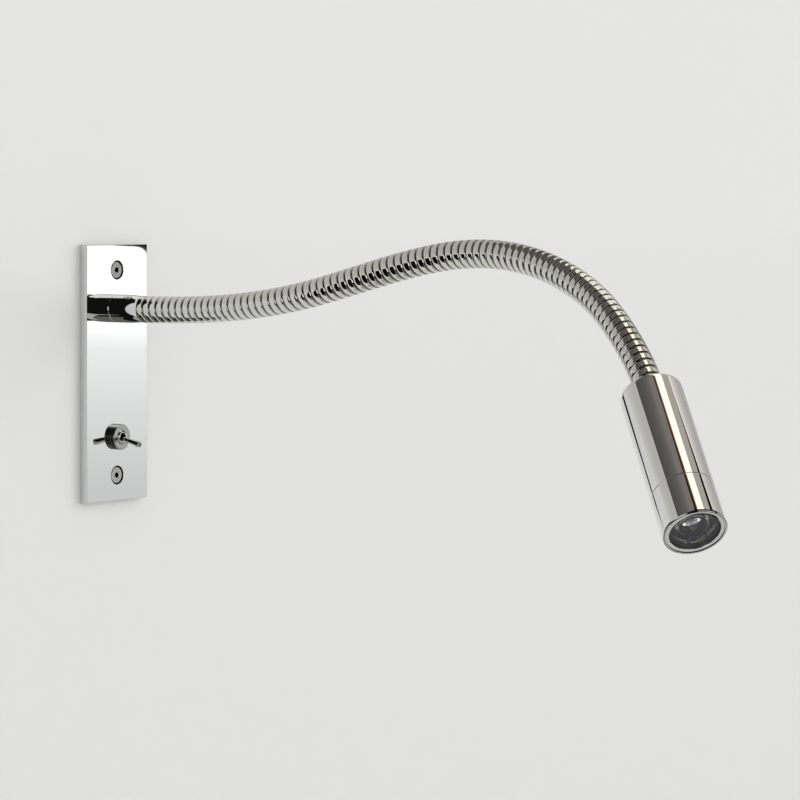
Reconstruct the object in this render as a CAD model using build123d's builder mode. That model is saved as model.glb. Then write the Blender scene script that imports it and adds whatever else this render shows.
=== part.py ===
"""Bedside wall reading lamp: a wall plate with a recessed box, a toggle switch
and a flexible arm that carries a small spot head.

Frame, in millimetres: the origin is the middle of the plate's back face, on the
wall. +Z is up, +X is to the right as seen from the room, and +Y goes into the wall.
"""

from math import radians, sin, cos, tan, sqrt
import os

from build123d import *

os.makedirs("parts", exist_ok=True)

# ---------------------------------------------------------------- dimensions

FIT = 0.1                       # radial clearance of pieces that are screwed or glued together
RUNNING = 0.3                   # clearance of pieces that move on each other

# wall plate
PLATE_WIDTH = 44.0
PLATE_HEIGHT = 120.0
PLATE_THICKNESS = 4.0
PLATE_EDGE_FILLET = 0.4

# plate screws, M4 countersunk with a hex socket
SCREW_DIAMETER = 4.0
SCREW_HOLE_DIAMETER = 4.5
COUNTERSINK_DIAMETER = 9.0
SCREW_HEAD_DIAMETER = 7.8
SCREW_HEAD_LAND = 0.3
SCREW_SOCKET_ACROSS = 2.5
SCREW_SOCKET_DEPTH = 1.6
SCREW_LENGTH = 11.0

# recessed wall box
BOX_WIDTH = 37.0
BOX_HEIGHT = 84.0
BOX_DEPTH = 40.0
BOX_WALL = 1.2
LUG_WIDTH = 12.0
LUG_HEIGHT = 11.0
LUG_THICKNESS = 3.0
LUG_SCREW_PLACE = 6.0           # plate screw outside the box's end
BOX_FIXING_INSET = 4.0          # of the fixing holes, from the box's ends
BOX_FIXING_SPACING = BOX_HEIGHT - 2 * BOX_FIXING_INSET
BOX_FIXING_DIAMETER = 4.5
CABLE_HOLE_DIAMETER = 14.0
CABLE_HOLE_INSET = 16.0         # below the box's top
CABLE_HOLE_HEIGHT = BOX_HEIGHT / 2 - CABLE_HOLE_INSET
GROMMET_FLANGE = 1.8
GROMMET_RIM = 1.5               # how far its flanges reach past the hole
GROMMET_BORE = 8.0

# what the plate carries, placed from the box behind it
SCREW_SPACING = BOX_HEIGHT + 2 * LUG_SCREW_PLACE    # between the two plate screws
ARM_INSET = 12.0                # arm axis below the box's top
ARM_HEIGHT = BOX_HEIGHT / 2 - ARM_INSET             # above the plate's middle
SWITCH_INSET = 12.0             # switch axis above the box's bottom
SWITCH_DROP = BOX_HEIGHT / 2 - SWITCH_INSET         # below the plate's middle

# ferrule that holds the arm on the plate
FERRULE_DIAMETER = 13.0
FERRULE_LENGTH = 16.0
FERRULE_TAPER_LENGTH = 5.5
FERRULE_TAPER = 0.4
SHANK_DIAMETER = 10.0
SHANK_REACH = 10.0              # behind the wall face
SOCKET_DEPTH = 8.0              # of the spine's ends in their fittings
WASHER_THICKNESS = 1.0
WASHER_RIM = 4.0
FERRULE_NUT_ACROSS = 14.0
FERRULE_NUT_THICKNESS = 4.0

# toggle switch
BUSH_DIAMETER = 6.35
BUSH_PROUD = 0.6                # past the dress ring
DRESS_RING_DIAMETER = 12.0
DRESS_RING_THICKNESS = 3.0
DRESS_RING_CHAMFER = 0.5
LEVER_LENGTH = 10.7             # outside the bush
LEVER_TIP_DIAMETER = 2.9
LEVER_ROOT_DIAMETER = 1.9
LEVER_TIP_CHAMFER = 0.4
LEVER_TILT = 14.0               # degrees below level at rest
PIVOT_DEPTH = 2.6               # behind the bush's mouth
PIVOT_BALL_DIAMETER = 3.8
LEVER_TAIL = 5.0
LEVER_TAIL_DIAMETER = 1.6
BUSH_LIP = 1.2
BUSH_MOUTH_DIAMETER = 3.7
SWITCH_WASHER_THICKNESS = 0.5
SWITCH_WASHER_RIM = 2.2
SWITCH_NUT_ACROSS = 8.0
SWITCH_NUT_THICKNESS = 2.0
SWITCH_FRAME_DEPTH = 3.0        # front of the switch frame behind the wall face
SWITCH_FRAME_THICKNESS = 0.8
SWITCH_WIDTH = 7.0
SWITCH_HEIGHT = 13.2
SWITCH_DEPTH = 9.5
TERMINAL_PITCH = 4.7
TERMINAL_WIDTH = 2.0
TERMINAL_THICKNESS = 0.8
TERMINAL_LENGTH = 4.5

# driver, terminals and earth point in the box
DRIVER_WIDTH = 28.0
DRIVER_HEIGHT = 28.0
DRIVER_DEPTH = 20.0
TERMINAL_BLOCK_WIDTH = 26.0
TERMINAL_BLOCK_HEIGHT = 14.0
TERMINAL_BLOCK_DEPTH = 10.0
TERMINAL_BLOCK_INSET = 16.0     # its middle above the box's bottom
TERMINAL_BLOCK_DROP = BOX_HEIGHT / 2 - TERMINAL_BLOCK_INSET
TERMINAL_SCREW_PITCH = 8.0
TERMINAL_SCREW_DIAMETER = 3.0
TERMINAL_SCREW_DEPTH = 4.0
EARTH_INSET = 6.0               # below the box's top
EARTH_POSITION = (12.0, BOX_HEIGHT / 2 - EARTH_INSET)   # x and z on the box's back wall
EARTH_TAG_DIAMETER = 8.0
EARTH_TAG_THICKNESS = 0.8
EARTH_SCREW_DIAMETER = 3.5
EARTH_SCREW_HEAD = 6.5
EARTH_SCREW_LENGTH = 6.0

# flexible arm: corners of its centre line, each rounded by a tangent arc
ARM_POINTS = [
    (0.0, -PLATE_THICKNESS - FERRULE_LENGTH, ARM_HEIGHT),
    (0.0, -34.9, ARM_HEIGHT),
    (-0.9, -62.6, 31.0),
    (-2.3, -90.2, 33.8),
    (-2.4, -116.3, 38.5),
    (-2.3, -141.7, 45.3),
    (-2.6, -173.6, 53.9),
    (-3.6, -200.2, 58.5),
    (-7.1, -226.7, 58.6),
    (-13.7, -253.4, 53.6),
    (-23.0, -278.9, 43.8),
    (-33.6, -299.0, 31.3),
    (-47.3, -320.1, 13.8),
    (-53.1, -327.1, 5.2),
]
ARC_SHARE = 0.45                # of the shorter run, taken by an arc's tangent
HOSE_DIAMETER = 12.5
HOSE_GROOVE_DEPTH = 0.5
HOSE_WALL = 0.95
TURNS_PER_LENGTH = 7            # windings between two bends
BAND_SHARE = 0.85               # of the pitch, covered by the band
BENDS = 12
BEND_ANGLE = 15.0               # degrees either way at each bend
BEND_GAP = 2.0                  # between two lengths of winding

# inner spine
LINK_DIAMETER = 9.6
LINK_BORE = 4.0
BALL_DIAMETER = 7.6
NECK_DIAMETER = 5.2
SOCKET_RIM = 1.9                # past the ball's middle
SHOULDER = 3.7                  # from the ball's middle

# lead inside the arm
LEAD_DIAMETER = 3.0
LEAD_CORNER = 12.0              # bend radius behind the ferrule
LEAD_PLACE = 24.0               # behind the wall face

# spot head, measured along its axis from the cap
HEAD_DIAMETER = 26.0
HEAD_LENGTH = 75.0
BEZEL_LENGTH = 20.0
CAP_THICKNESS = 3.0
CAP_FILLET = 3.0
REAR_BORE = 20.4
FRONT_WALL = 1.6
SHOULDER_PLACE = 28.0           # where the rear bore ends
FITTING_DIAMETER = 12.0
FITTING_LENGTH = 12.0
HEAD_NUT_ACROSS = 16.0
HEAD_NUT_THICKNESS = 3.5
SINK_SLOTS = 10
SINK_SLOT_WIDTH = 1.5
SINK_SLOT_DEPTH = 4.5
SINK_BORE = 3.8
SPIGOT_LENGTH = 5.0
BEZEL_BORE = 20.4
BOARD_DIAMETER = 20.0
BOARD_THICKNESS = 1.6
EMITTER_SIZE = 5.0
EMITTER_THICKNESS = 0.9
EMITTER_DOME = 2.2
BOARD_SCREW_CIRCLE = 13.0
BOARD_SCREW_DIAMETER = 2.0
BOARD_SCREW_HEAD = 3.6
BOARD_SCREW_HEAD_HEIGHT = 1.4
BOARD_SCREW_LENGTH = 6.0
HOLDER_LENGTH = 18.9
HOLDER_WALL = 1.5
LENS_FLANGE = 2.5
LENS_SEAT = 0.7
LENS_NECK_DIAMETER = 8.0
LENS_START = 1.8                # in front of the board
LENS_CAVITY_DEPTH = 2.0
LENS_CAVITY_DIAMETER = 6.0
GLASS_DIAMETER = 22.3
GLASS_THICKNESS = 2.7
GLASS_RECESS = 0.7              # below the rim
GASKET_THICKNESS = 0.5
RIM_STEP_WIDTH = 0.7
RIM_STEP_DEPTH = 0.4
RIM_FILLET = 0.9

# ------------------------------------------------------------ places derived

WALL = Plane.XZ                                 # looks into the room
FRONT = WALL.offset(PLATE_THICKNESS)            # plate's front face
BACK_WALL = BOX_DEPTH - BOX_WALL                # inside face of the box's back


def behind(depth):
    """The plane at this depth behind the wall face, looking into the wall."""
    return Plane(origin=(0, depth, 0), x_dir=(1, 0, 0), z_dir=(0, 1, 0))


def finish(builder, name):
    """Label the finished piece and write its STEP file."""
    builder.part.label = name
    export_step(builder.part, f"parts/{name}.step")


# -------------------------------------------------------------- wall plate

with BuildPart() as back_plate:
    with BuildSketch(WALL):
        Rectangle(PLATE_WIDTH, PLATE_HEIGHT)
    extrude(amount=PLATE_THICKNESS)
    fillet(back_plate.faces().sort_by(Axis.Y)[0].edges(), PLATE_EDGE_FILLET)
    with Locations(FRONT.location):
        with GridLocations(0, SCREW_SPACING, 1, 2):
            CounterSinkHole(SCREW_HOLE_DIAMETER / 2, COUNTERSINK_DIAMETER / 2,
                            depth=PLATE_THICKNESS, counter_sink_angle=90)
        with Locations((0, ARM_HEIGHT)):
            Hole(SHANK_DIAMETER / 2 + FIT, depth=PLATE_THICKNESS)
        with Locations((0, -SWITCH_DROP)):
            Hole(BUSH_DIAMETER / 2 + FIT, depth=PLATE_THICKNESS)
finish(back_plate, "back_plate")

# The head's land lies below the plate face by what its cone is smaller than the countersink.
head_sink = (COUNTERSINK_DIAMETER - SCREW_HEAD_DIAMETER) / 2 - SCREW_HEAD_LAND
head_cone = (SCREW_HEAD_DIAMETER - SCREW_DIAMETER) / 2
for place, name in ((SCREW_SPACING / 2, "plate_screw_top"), (-SCREW_SPACING / 2, "plate_screw_bottom")):
    screw_plane = Plane(origin=(0, -PLATE_THICKNESS + head_sink, place), x_dir=(1, 0, 0), z_dir=(0, 1, 0))
    with BuildPart() as plate_screw:
        with BuildSketch(screw_plane):
            Circle(SCREW_HEAD_DIAMETER / 2 - FIT / 2)
        extrude(amount=SCREW_HEAD_LAND)
        with BuildSketch(screw_plane.offset(SCREW_HEAD_LAND)):
            Circle(SCREW_HEAD_DIAMETER / 2 - FIT / 2)
        with BuildSketch(screw_plane.offset(SCREW_HEAD_LAND + head_cone)):
            Circle(SCREW_DIAMETER / 2 - FIT / 2)
        loft()
        with BuildSketch(screw_plane):
            Circle(SCREW_DIAMETER / 2 - FIT / 2)
        extrude(amount=SCREW_LENGTH)
        with BuildSketch(screw_plane):
            RegularPolygon(SCREW_SOCKET_ACROSS / 2, 6, major_radius=False)
        extrude(amount=SCREW_SOCKET_DEPTH, mode=Mode.SUBTRACT)
    finish(plate_screw, name)

# ---------------------------------------------------------------- wall box

lug_place = BOX_HEIGHT / 2 + LUG_HEIGHT / 2
with BuildPart() as wall_box:
    with BuildSketch(behind(0)):
        Rectangle(BOX_WIDTH, BOX_HEIGHT)
    extrude(amount=BOX_DEPTH)
    fillet(wall_box.edges().filter_by(Axis.Y), BOX_WALL * 2)
    with BuildSketch(behind(0)) as box_hollow:
        Rectangle(BOX_WIDTH - 2 * BOX_WALL, BOX_HEIGHT - 2 * BOX_WALL)
        fillet(box_hollow.vertices(), BOX_WALL)
    extrude(amount=BACK_WALL, mode=Mode.SUBTRACT)
    with BuildSketch(behind(0)):
        with GridLocations(0, 2 * lug_place, 1, 2):
            Rectangle(LUG_WIDTH, LUG_HEIGHT)
        with GridLocations(0, SCREW_SPACING, 1, 2):
            Circle(SCREW_DIAMETER / 2 + FIT / 2, mode=Mode.SUBTRACT)
    extrude(amount=LUG_THICKNESS)
    with BuildSketch(behind(BACK_WALL)):
        with GridLocations(0, BOX_FIXING_SPACING, 1, 2):
            Circle(BOX_FIXING_DIAMETER / 2)
        with Locations((0, -CABLE_HOLE_HEIGHT)):
            Circle(CABLE_HOLE_DIAMETER / 2)
        with Locations((EARTH_POSITION[0], -EARTH_POSITION[1])):
            Circle(EARTH_SCREW_DIAMETER / 2 + FIT / 2)
    extrude(amount=BOX_WALL, mode=Mode.SUBTRACT)
finish(wall_box, "wall_box")

# A round ring in a hole of the back wall, with a flange on each side of it.
grommet_start = BACK_WALL - GROMMET_FLANGE
with BuildPart() as cable_grommet:
    with BuildSketch(behind(grommet_start)):
        with Locations((0, -CABLE_HOLE_HEIGHT)):
            Circle(CABLE_HOLE_DIAMETER / 2 - FIT)
    extrude(amount=BOX_WALL + 2 * GROMMET_FLANGE)
    for flange_start in (grommet_start, BACK_WALL + BOX_WALL):
        with BuildSketch(behind(flange_start)):
            with Locations((0, -CABLE_HOLE_HEIGHT)):
                Circle(CABLE_HOLE_DIAMETER / 2 + GROMMET_RIM)
        extrude(amount=GROMMET_FLANGE)
    with BuildSketch(behind(grommet_start)):
        with Locations((0, -CABLE_HOLE_HEIGHT)):
            Circle(GROMMET_BORE / 2)
    extrude(amount=BOX_WALL + 2 * GROMMET_FLANGE, mode=Mode.SUBTRACT)
finish(cable_grommet, "cable_grommet")

# ----------------------------------------------------------------- ferrule

with BuildPart() as arm_ferrule:
    with BuildSketch(FRONT):
        with Locations((0, ARM_HEIGHT)):
            Circle(FERRULE_DIAMETER / 2)
    extrude(amount=FERRULE_LENGTH)
    chamfer(arm_ferrule.faces().sort_by(Axis.Y)[0].edges(), FERRULE_TAPER, FERRULE_TAPER_LENGTH)
    with BuildSketch(FRONT):
        with Locations((0, ARM_HEIGHT)):
            Circle(SHANK_DIAMETER / 2)
    extrude(amount=-(PLATE_THICKNESS + SHANK_REACH))
    with Locations(FRONT.offset(FERRULE_LENGTH).location):
        with Locations((0, ARM_HEIGHT)):
            Hole(LINK_DIAMETER / 2 + FIT, depth=SOCKET_DEPTH)
            Hole(LEAD_DIAMETER / 2 + RUNNING)
finish(arm_ferrule, "arm_ferrule")

with BuildPart() as ferrule_washer:
    with BuildSketch(behind(0)):
        with Locations((0, -ARM_HEIGHT)):
            Circle(SHANK_DIAMETER / 2 + WASHER_RIM)
            Circle(SHANK_DIAMETER / 2 + FIT, mode=Mode.SUBTRACT)
    extrude(amount=WASHER_THICKNESS)
finish(ferrule_washer, "ferrule_washer")

with BuildPart() as ferrule_nut:
    with BuildSketch(behind(WASHER_THICKNESS)):
        with Locations((0, -ARM_HEIGHT)):
            RegularPolygon(FERRULE_NUT_ACROSS / 2, 6, major_radius=False)
            Circle(SHANK_DIAMETER / 2 + FIT / 2, mode=Mode.SUBTRACT)
    extrude(amount=FERRULE_NUT_THICKNESS)
finish(ferrule_nut, "ferrule_nut")

# ----------------------------------------------------------- toggle switch

bush_mouth = PLATE_THICKNESS + DRESS_RING_THICKNESS + BUSH_PROUD     # in front of the wall face
pivot = Vector(0, -bush_mouth + PIVOT_DEPTH, -SWITCH_DROP)

with BuildPart() as dress_ring:
    with BuildSketch(FRONT):
        with Locations((0, -SWITCH_DROP)):
            Circle(DRESS_RING_DIAMETER / 2)
    extrude(amount=DRESS_RING_THICKNESS)
    chamfer(dress_ring.faces().sort_by(Axis.Y)[0].edges(), DRESS_RING_CHAMFER)
    with BuildSketch(FRONT):
        with Locations((0, -SWITCH_DROP)):
            Circle(BUSH_DIAMETER / 2 + FIT / 2)
    extrude(amount=DRESS_RING_THICKNESS, mode=Mode.SUBTRACT)
finish(dress_ring, "dress_ring")

bush_length = bush_mouth + SWITCH_FRAME_DEPTH
with BuildPart() as switch_bush:
    with BuildSketch(WALL.offset(bush_mouth)):
        with Locations((0, -SWITCH_DROP)):
            Circle(BUSH_DIAMETER / 2)
    extrude(amount=-bush_length)
    with BuildSketch(behind(SWITCH_FRAME_DEPTH)):
        with Locations((0, SWITCH_DROP)):
            Rectangle(SWITCH_WIDTH, SWITCH_HEIGHT)
    extrude(amount=SWITCH_FRAME_THICKNESS)
    with Locations(WALL.offset(bush_mouth).location):
        with Locations((0, -SWITCH_DROP)):
            Hole(BUSH_MOUTH_DIAMETER / 2)
    with BuildSketch(WALL.offset(bush_mouth - BUSH_LIP)):
        with Locations((0, -SWITCH_DROP)):
            Circle(PIVOT_BALL_DIAMETER / 2 + RUNNING)
    extrude(amount=-(bush_length - BUSH_LIP + SWITCH_FRAME_THICKNESS), mode=Mode.SUBTRACT)
finish(switch_bush, "switch_bush")

with BuildPart() as switch_body:
    with BuildSketch(behind(SWITCH_FRAME_DEPTH + SWITCH_FRAME_THICKNESS)):
        with Locations((0, SWITCH_DROP)):
            Rectangle(SWITCH_WIDTH, SWITCH_HEIGHT)
    extrude(amount=SWITCH_DEPTH)
    fillet(switch_body.edges().filter_by(Axis.Y), 0.5)
finish(switch_body, "switch_body")

switch_back = SWITCH_FRAME_DEPTH + SWITCH_FRAME_THICKNESS + SWITCH_DEPTH
with BuildPart() as switch_terminals:
    with BuildSketch(behind(switch_back)):
        with Locations((0, SWITCH_DROP)):
            with GridLocations(0, TERMINAL_PITCH, 1, 3):
                Rectangle(TERMINAL_WIDTH, TERMINAL_THICKNESS)
    extrude(amount=TERMINAL_LENGTH)
finish(switch_terminals, "switch_terminals")

with BuildPart() as switch_washer:
    with BuildSketch(behind(0)):
        with Locations((0, SWITCH_DROP)):
            Circle(BUSH_DIAMETER / 2 + SWITCH_WASHER_RIM)
            Circle(BUSH_DIAMETER / 2 + FIT, mode=Mode.SUBTRACT)
    extrude(amount=SWITCH_WASHER_THICKNESS)
finish(switch_washer, "switch_washer")

with BuildPart() as switch_nut:
    with BuildSketch(behind(SWITCH_WASHER_THICKNESS)):
        with Locations((0, SWITCH_DROP)):
            RegularPolygon(SWITCH_NUT_ACROSS / 2, 6, major_radius=False)
            Circle(BUSH_DIAMETER / 2 + FIT / 2, mode=Mode.SUBTRACT)
    extrude(amount=SWITCH_NUT_THICKNESS)
finish(switch_nut, "switch_nut")

# The lever turns about the ball's middle, on a level axis along X.
lever_reach = PIVOT_DEPTH + LEVER_LENGTH
lever_plane = Plane(origin=pivot, x_dir=(1, 0, 0),
                    z_dir=(0, -cos(radians(LEVER_TILT)), -sin(radians(LEVER_TILT))))
with BuildPart() as toggle_lever:
    with BuildSketch(lever_plane):
        Circle(LEVER_ROOT_DIAMETER / 2)
    with BuildSketch(lever_plane.offset(lever_reach)):
        Circle(LEVER_TIP_DIAMETER / 2)
    loft()
    chamfer(toggle_lever.faces().sort_by(Axis.Y)[0].edges(), LEVER_TIP_CHAMFER)
    with Locations(lever_plane.location):
        Sphere(PIVOT_BALL_DIAMETER / 2)
    with BuildSketch(lever_plane):
        Circle(LEVER_TAIL_DIAMETER / 2)
    extrude(amount=-LEVER_TAIL)
finish(toggle_lever, "toggle_lever")

# --------------------------------------------- driver, terminals and earth

with BuildPart() as led_driver:
    with BuildSketch(behind(BACK_WALL)):
        Rectangle(DRIVER_WIDTH, DRIVER_HEIGHT)
    extrude(amount=-DRIVER_DEPTH)
    fillet(led_driver.edges().filter_by(Axis.Y), 1.5)
finish(led_driver, "led_driver")

terminal_front = BACK_WALL - TERMINAL_BLOCK_DEPTH
with BuildPart() as terminal_block:
    with BuildSketch(behind(BACK_WALL)):
        with Locations((0, TERMINAL_BLOCK_DROP)):
            Rectangle(TERMINAL_BLOCK_WIDTH, TERMINAL_BLOCK_HEIGHT)
    extrude(amount=-TERMINAL_BLOCK_DEPTH)
    with BuildSketch(behind(terminal_front)):
        with Locations((0, TERMINAL_BLOCK_DROP)):
            with GridLocations(TERMINAL_SCREW_PITCH, 0, 3, 1):
                Circle(TERMINAL_SCREW_DIAMETER / 2 + FIT)
    extrude(amount=TERMINAL_SCREW_DEPTH, mode=Mode.SUBTRACT)
finish(terminal_block, "terminal_block")

with BuildPart() as terminal_screws:
    with BuildSketch(behind(terminal_front + TERMINAL_SCREW_DEPTH)):
        with Locations((0, TERMINAL_BLOCK_DROP)):
            with GridLocations(TERMINAL_SCREW_PITCH, 0, 3, 1):
                Circle(TERMINAL_SCREW_DIAMETER / 2)
    extrude(amount=-TERMINAL_SCREW_DEPTH * 0.8)
finish(terminal_screws, "terminal_screws")

with BuildPart() as earth_tag:
    with BuildSketch(behind(BACK_WALL)):
        with Locations((EARTH_POSITION[0], -EARTH_POSITION[1])):
            Circle(EARTH_TAG_DIAMETER / 2)
            Circle(EARTH_SCREW_DIAMETER / 2 + FIT, mode=Mode.SUBTRACT)
    extrude(amount=-EARTH_TAG_THICKNESS)
finish(earth_tag, "earth_tag")

with BuildPart() as earth_screw:
    with BuildSketch(behind(BACK_WALL - EARTH_TAG_THICKNESS)):
        with Locations((EARTH_POSITION[0], -EARTH_POSITION[1])):
            Circle(EARTH_SCREW_HEAD / 2)
    extrude(amount=-EARTH_SCREW_DIAMETER / 2)
    with BuildSketch(behind(BACK_WALL - EARTH_TAG_THICKNESS)):
        with Locations((EARTH_POSITION[0], -EARTH_POSITION[1])):
            Circle(EARTH_SCREW_DIAMETER / 2)
    extrude(amount=EARTH_SCREW_LENGTH)
finish(earth_screw, "earth_screw")

# ------------------------------------------------------------ flexible arm


def arc_radii(points):
    """Radius of the arc at each inner corner: as large as its two runs allow."""
    radii = []
    for before, corner, after in zip(points, points[1:], points[2:]):
        run_in, run_out = Vector(corner) - Vector(before), Vector(after) - Vector(corner)
        half_turn = radians(run_in.get_angle(run_out)) / 2
        radii.append(ARC_SHARE * min(run_in.length, run_out.length) / tan(half_turn))
    return radii


arm_radii = arc_radii(ARM_POINTS)
print("arm radii:", [round(radius) for radius in arm_radii])
with BuildLine() as arm_line:
    FilletPolyline(*ARM_POINTS, radius=arm_radii)
arm = arm_line.wire()
ARM_LENGTH = arm.length
SPAN = ARM_LENGTH / BENDS                       # between two bends
PITCH = SPAN / TURNS_PER_LENGTH
print("arm length:", round(ARM_LENGTH, 2), "pitch:", round(PITCH, 3))

bends = [(number + 0.5) * SPAN for number in range(BENDS)]


def along(place):
    """The plane across the arm at this length from the ferrule."""
    return Plane(origin=arm.position_at(place, PositionMode.LENGTH),
                 z_dir=arm.tangent_at(place, PositionMode.LENGTH))


for number in range(BENDS):
    direction = along(bends[number]).z_dir
    print("bend", number + 1, [round(value, 3) for value in along(bends[number]).origin],
          [round(value, 4) for value in direction])

head_plane = along(ARM_LENGTH)
print("head", [round(value, 3) for value in head_plane.origin], [round(value, 4) for value in head_plane.z_dir])

sleeve_radius = HOSE_DIAMETER / 2 - HOSE_GROOVE_DEPTH
hose_bore = HOSE_DIAMETER / 2 - HOSE_WALL
for number in range(BENDS + 1):
    start = 0.0 if number == 0 else bends[number - 1] + BEND_GAP / 2
    end = ARM_LENGTH if number == BENDS else bends[number] - BEND_GAP / 2
    with BuildPart() as arm_winding:
        with BuildLine() as winding_path:
            add(arm.trim(start / ARM_LENGTH, end / ARM_LENGTH))
        with BuildSketch(along(start)):
            Circle(sleeve_radius)
            Circle(hose_bore, mode=Mode.SUBTRACT)
        sweep(path=winding_path.wire())
        for turn in range(BENDS * TURNS_PER_LENGTH + 1):
            band_start = max(start, (turn - BAND_SHARE / 2) * PITCH)
            band_end = min(end, (turn + BAND_SHARE / 2) * PITCH)
            if band_end - band_start > PITCH / 4:
                with BuildSketch(along((band_start + band_end) / 2)):
                    Circle(HOSE_DIAMETER / 2)
                    Circle((sleeve_radius + hose_bore) / 2, mode=Mode.SUBTRACT)
                extrude(amount=(band_end - band_start) / 2, both=True)
    finish(arm_winding, f"arm_winding_{number:02d}")

# Each link of the spine has a socket on the ball of the link before it.
for number in range(BENDS + 1):
    start = 0.0 if number == 0 else bends[number - 1] - SOCKET_RIM
    end = ARM_LENGTH if number == BENDS else bends[number] - SHOULDER
    with BuildPart() as arm_link:
        with BuildLine() as link_path:
            add(arm.trim(start / ARM_LENGTH, end / ARM_LENGTH))
        with BuildSketch(along(start)):
            Circle(LINK_DIAMETER / 2)
        sweep(path=link_path.wire())
        if number == 0:
            with BuildSketch(along(0)):
                Circle(LINK_DIAMETER / 2)
            extrude(amount=-SOCKET_DEPTH)
        if number == BENDS:
            with BuildSketch(head_plane):
                Circle(LINK_DIAMETER / 2)
            extrude(amount=SOCKET_DEPTH)
        else:
            with BuildSketch(along(end)):
                Circle(NECK_DIAMETER / 2)
            extrude(amount=SHOULDER)
            with Locations(along(bends[number]).location):
                Sphere(BALL_DIAMETER / 2)
        if number > 0:
            with Locations(along(bends[number - 1]).location):
                Sphere(BALL_DIAMETER / 2 + RUNNING, mode=Mode.SUBTRACT)
        with BuildSketch(along(start)):
            Circle(LINK_BORE / 2)
        sweep(path=link_path.wire(), mode=Mode.SUBTRACT)
        if number == 0:
            with BuildSketch(along(0)):
                Circle(LINK_BORE / 2)
            extrude(amount=-SOCKET_DEPTH, mode=Mode.SUBTRACT)
        with BuildSketch(along(end)):
            Circle(LINK_BORE / 2)
        extrude(amount=SOCKET_DEPTH + BALL_DIAMETER, mode=Mode.SUBTRACT)
    finish(arm_link, f"arm_link_{number:02d}")

# --------------------------------------------------------------- spot head

seam = HEAD_LENGTH - BEZEL_LENGTH
sink_end = seam - SPIGOT_LENGTH                 # where the board sits
front_bore = HEAD_DIAMETER / 2 - FRONT_WALL

with BuildPart() as head_barrel:
    with BuildSketch(head_plane):
        Circle(HEAD_DIAMETER / 2)
    extrude(amount=seam)
    fillet(head_barrel.faces().sort_by(Axis(head_plane.origin, head_plane.z_dir))[0].edges(), CAP_FILLET)
    with BuildSketch(head_plane):
        Circle(FITTING_DIAMETER / 2 + FIT)
    extrude(amount=CAP_THICKNESS, mode=Mode.SUBTRACT)
    with BuildSketch(head_plane.offset(CAP_THICKNESS)):
        Circle(REAR_BORE / 2)
    extrude(amount=SHOULDER_PLACE - CAP_THICKNESS, mode=Mode.SUBTRACT)
    with BuildSketch(head_plane.offset(SHOULDER_PLACE)):
        Circle(front_bore)
    extrude(amount=seam - SHOULDER_PLACE, mode=Mode.SUBTRACT)
finish(head_barrel, "head_barrel")

with BuildPart() as head_fitting:
    with BuildSketch(head_plane):
        Circle(FITTING_DIAMETER / 2)
    extrude(amount=FITTING_LENGTH)
    with BuildSketch(head_plane):
        Circle(LINK_DIAMETER / 2 + FIT)
    extrude(amount=SOCKET_DEPTH, mode=Mode.SUBTRACT)
    with BuildSketch(head_plane):
        Circle(LEAD_DIAMETER / 2 + RUNNING)
    extrude(amount=FITTING_LENGTH, mode=Mode.SUBTRACT)
finish(head_fitting, "head_fitting")

with BuildPart() as head_nut:
    with BuildSketch(head_plane.offset(CAP_THICKNESS)):
        RegularPolygon(HEAD_NUT_ACROSS / 2, 6, major_radius=False)
        Circle(FITTING_DIAMETER / 2 + FIT / 2, mode=Mode.SUBTRACT)
    extrude(amount=HEAD_NUT_THICKNESS)
finish(head_nut, "head_nut")

sink_radius = front_bore - FIT
with BuildPart() as heat_sink:
    with BuildSketch(head_plane.offset(SHOULDER_PLACE)):
        Circle(sink_radius)
        Circle(SINK_BORE / 2, mode=Mode.SUBTRACT)
        with PolarLocations(sink_radius - SINK_SLOT_DEPTH / 2, SINK_SLOTS):
            Rectangle(SINK_SLOT_DEPTH, SINK_SLOT_WIDTH, mode=Mode.SUBTRACT)
    extrude(amount=sink_end - SHOULDER_PLACE - BOARD_THICKNESS)
    with BuildSketch(head_plane.offset(sink_end - BOARD_THICKNESS)):
        Circle(sink_radius)
        Circle(SINK_BORE / 2, mode=Mode.SUBTRACT)
    extrude(amount=BOARD_THICKNESS)
    with BuildSketch(head_plane.offset(sink_end)):
        with PolarLocations(BOARD_SCREW_CIRCLE / 2, 2):
            Circle(BOARD_SCREW_DIAMETER / 2 + FIT / 2)
    extrude(amount=-BOARD_SCREW_LENGTH, mode=Mode.SUBTRACT)
finish(heat_sink, "heat_sink")

with BuildPart() as led_board:
    with BuildSketch(head_plane.offset(sink_end)):
        Circle(BOARD_DIAMETER / 2)
        with PolarLocations(BOARD_SCREW_CIRCLE / 2, 2):
            Circle(BOARD_SCREW_DIAMETER / 2 + FIT, mode=Mode.SUBTRACT)
    extrude(amount=BOARD_THICKNESS)
finish(led_board, "led_board")

board_face = sink_end + BOARD_THICKNESS
with BuildPart() as led_emitter:
    with BuildSketch(head_plane.offset(board_face)):
        Rectangle(EMITTER_SIZE, EMITTER_SIZE)
    extrude(amount=EMITTER_THICKNESS)
    with Locations(head_plane.offset(board_face + EMITTER_THICKNESS).location):
        Sphere(EMITTER_DOME, arc_size1=0, align=(Align.CENTER, Align.CENTER, Align.MIN))
finish(led_emitter, "led_emitter")

with BuildPart() as board_screws:
    with BuildSketch(head_plane.offset(board_face)):
        with PolarLocations(BOARD_SCREW_CIRCLE / 2, 2):
            Circle(BOARD_SCREW_HEAD / 2)
    extrude(amount=BOARD_SCREW_HEAD_HEIGHT)
    with BuildSketch(head_plane.offset(board_face)):
        with PolarLocations(BOARD_SCREW_CIRCLE / 2, 2):
            Circle(BOARD_SCREW_DIAMETER / 2)
    extrude(amount=-(BOARD_THICKNESS + BOARD_SCREW_LENGTH - 2 * FIT))
finish(board_screws, "board_screws")

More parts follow.
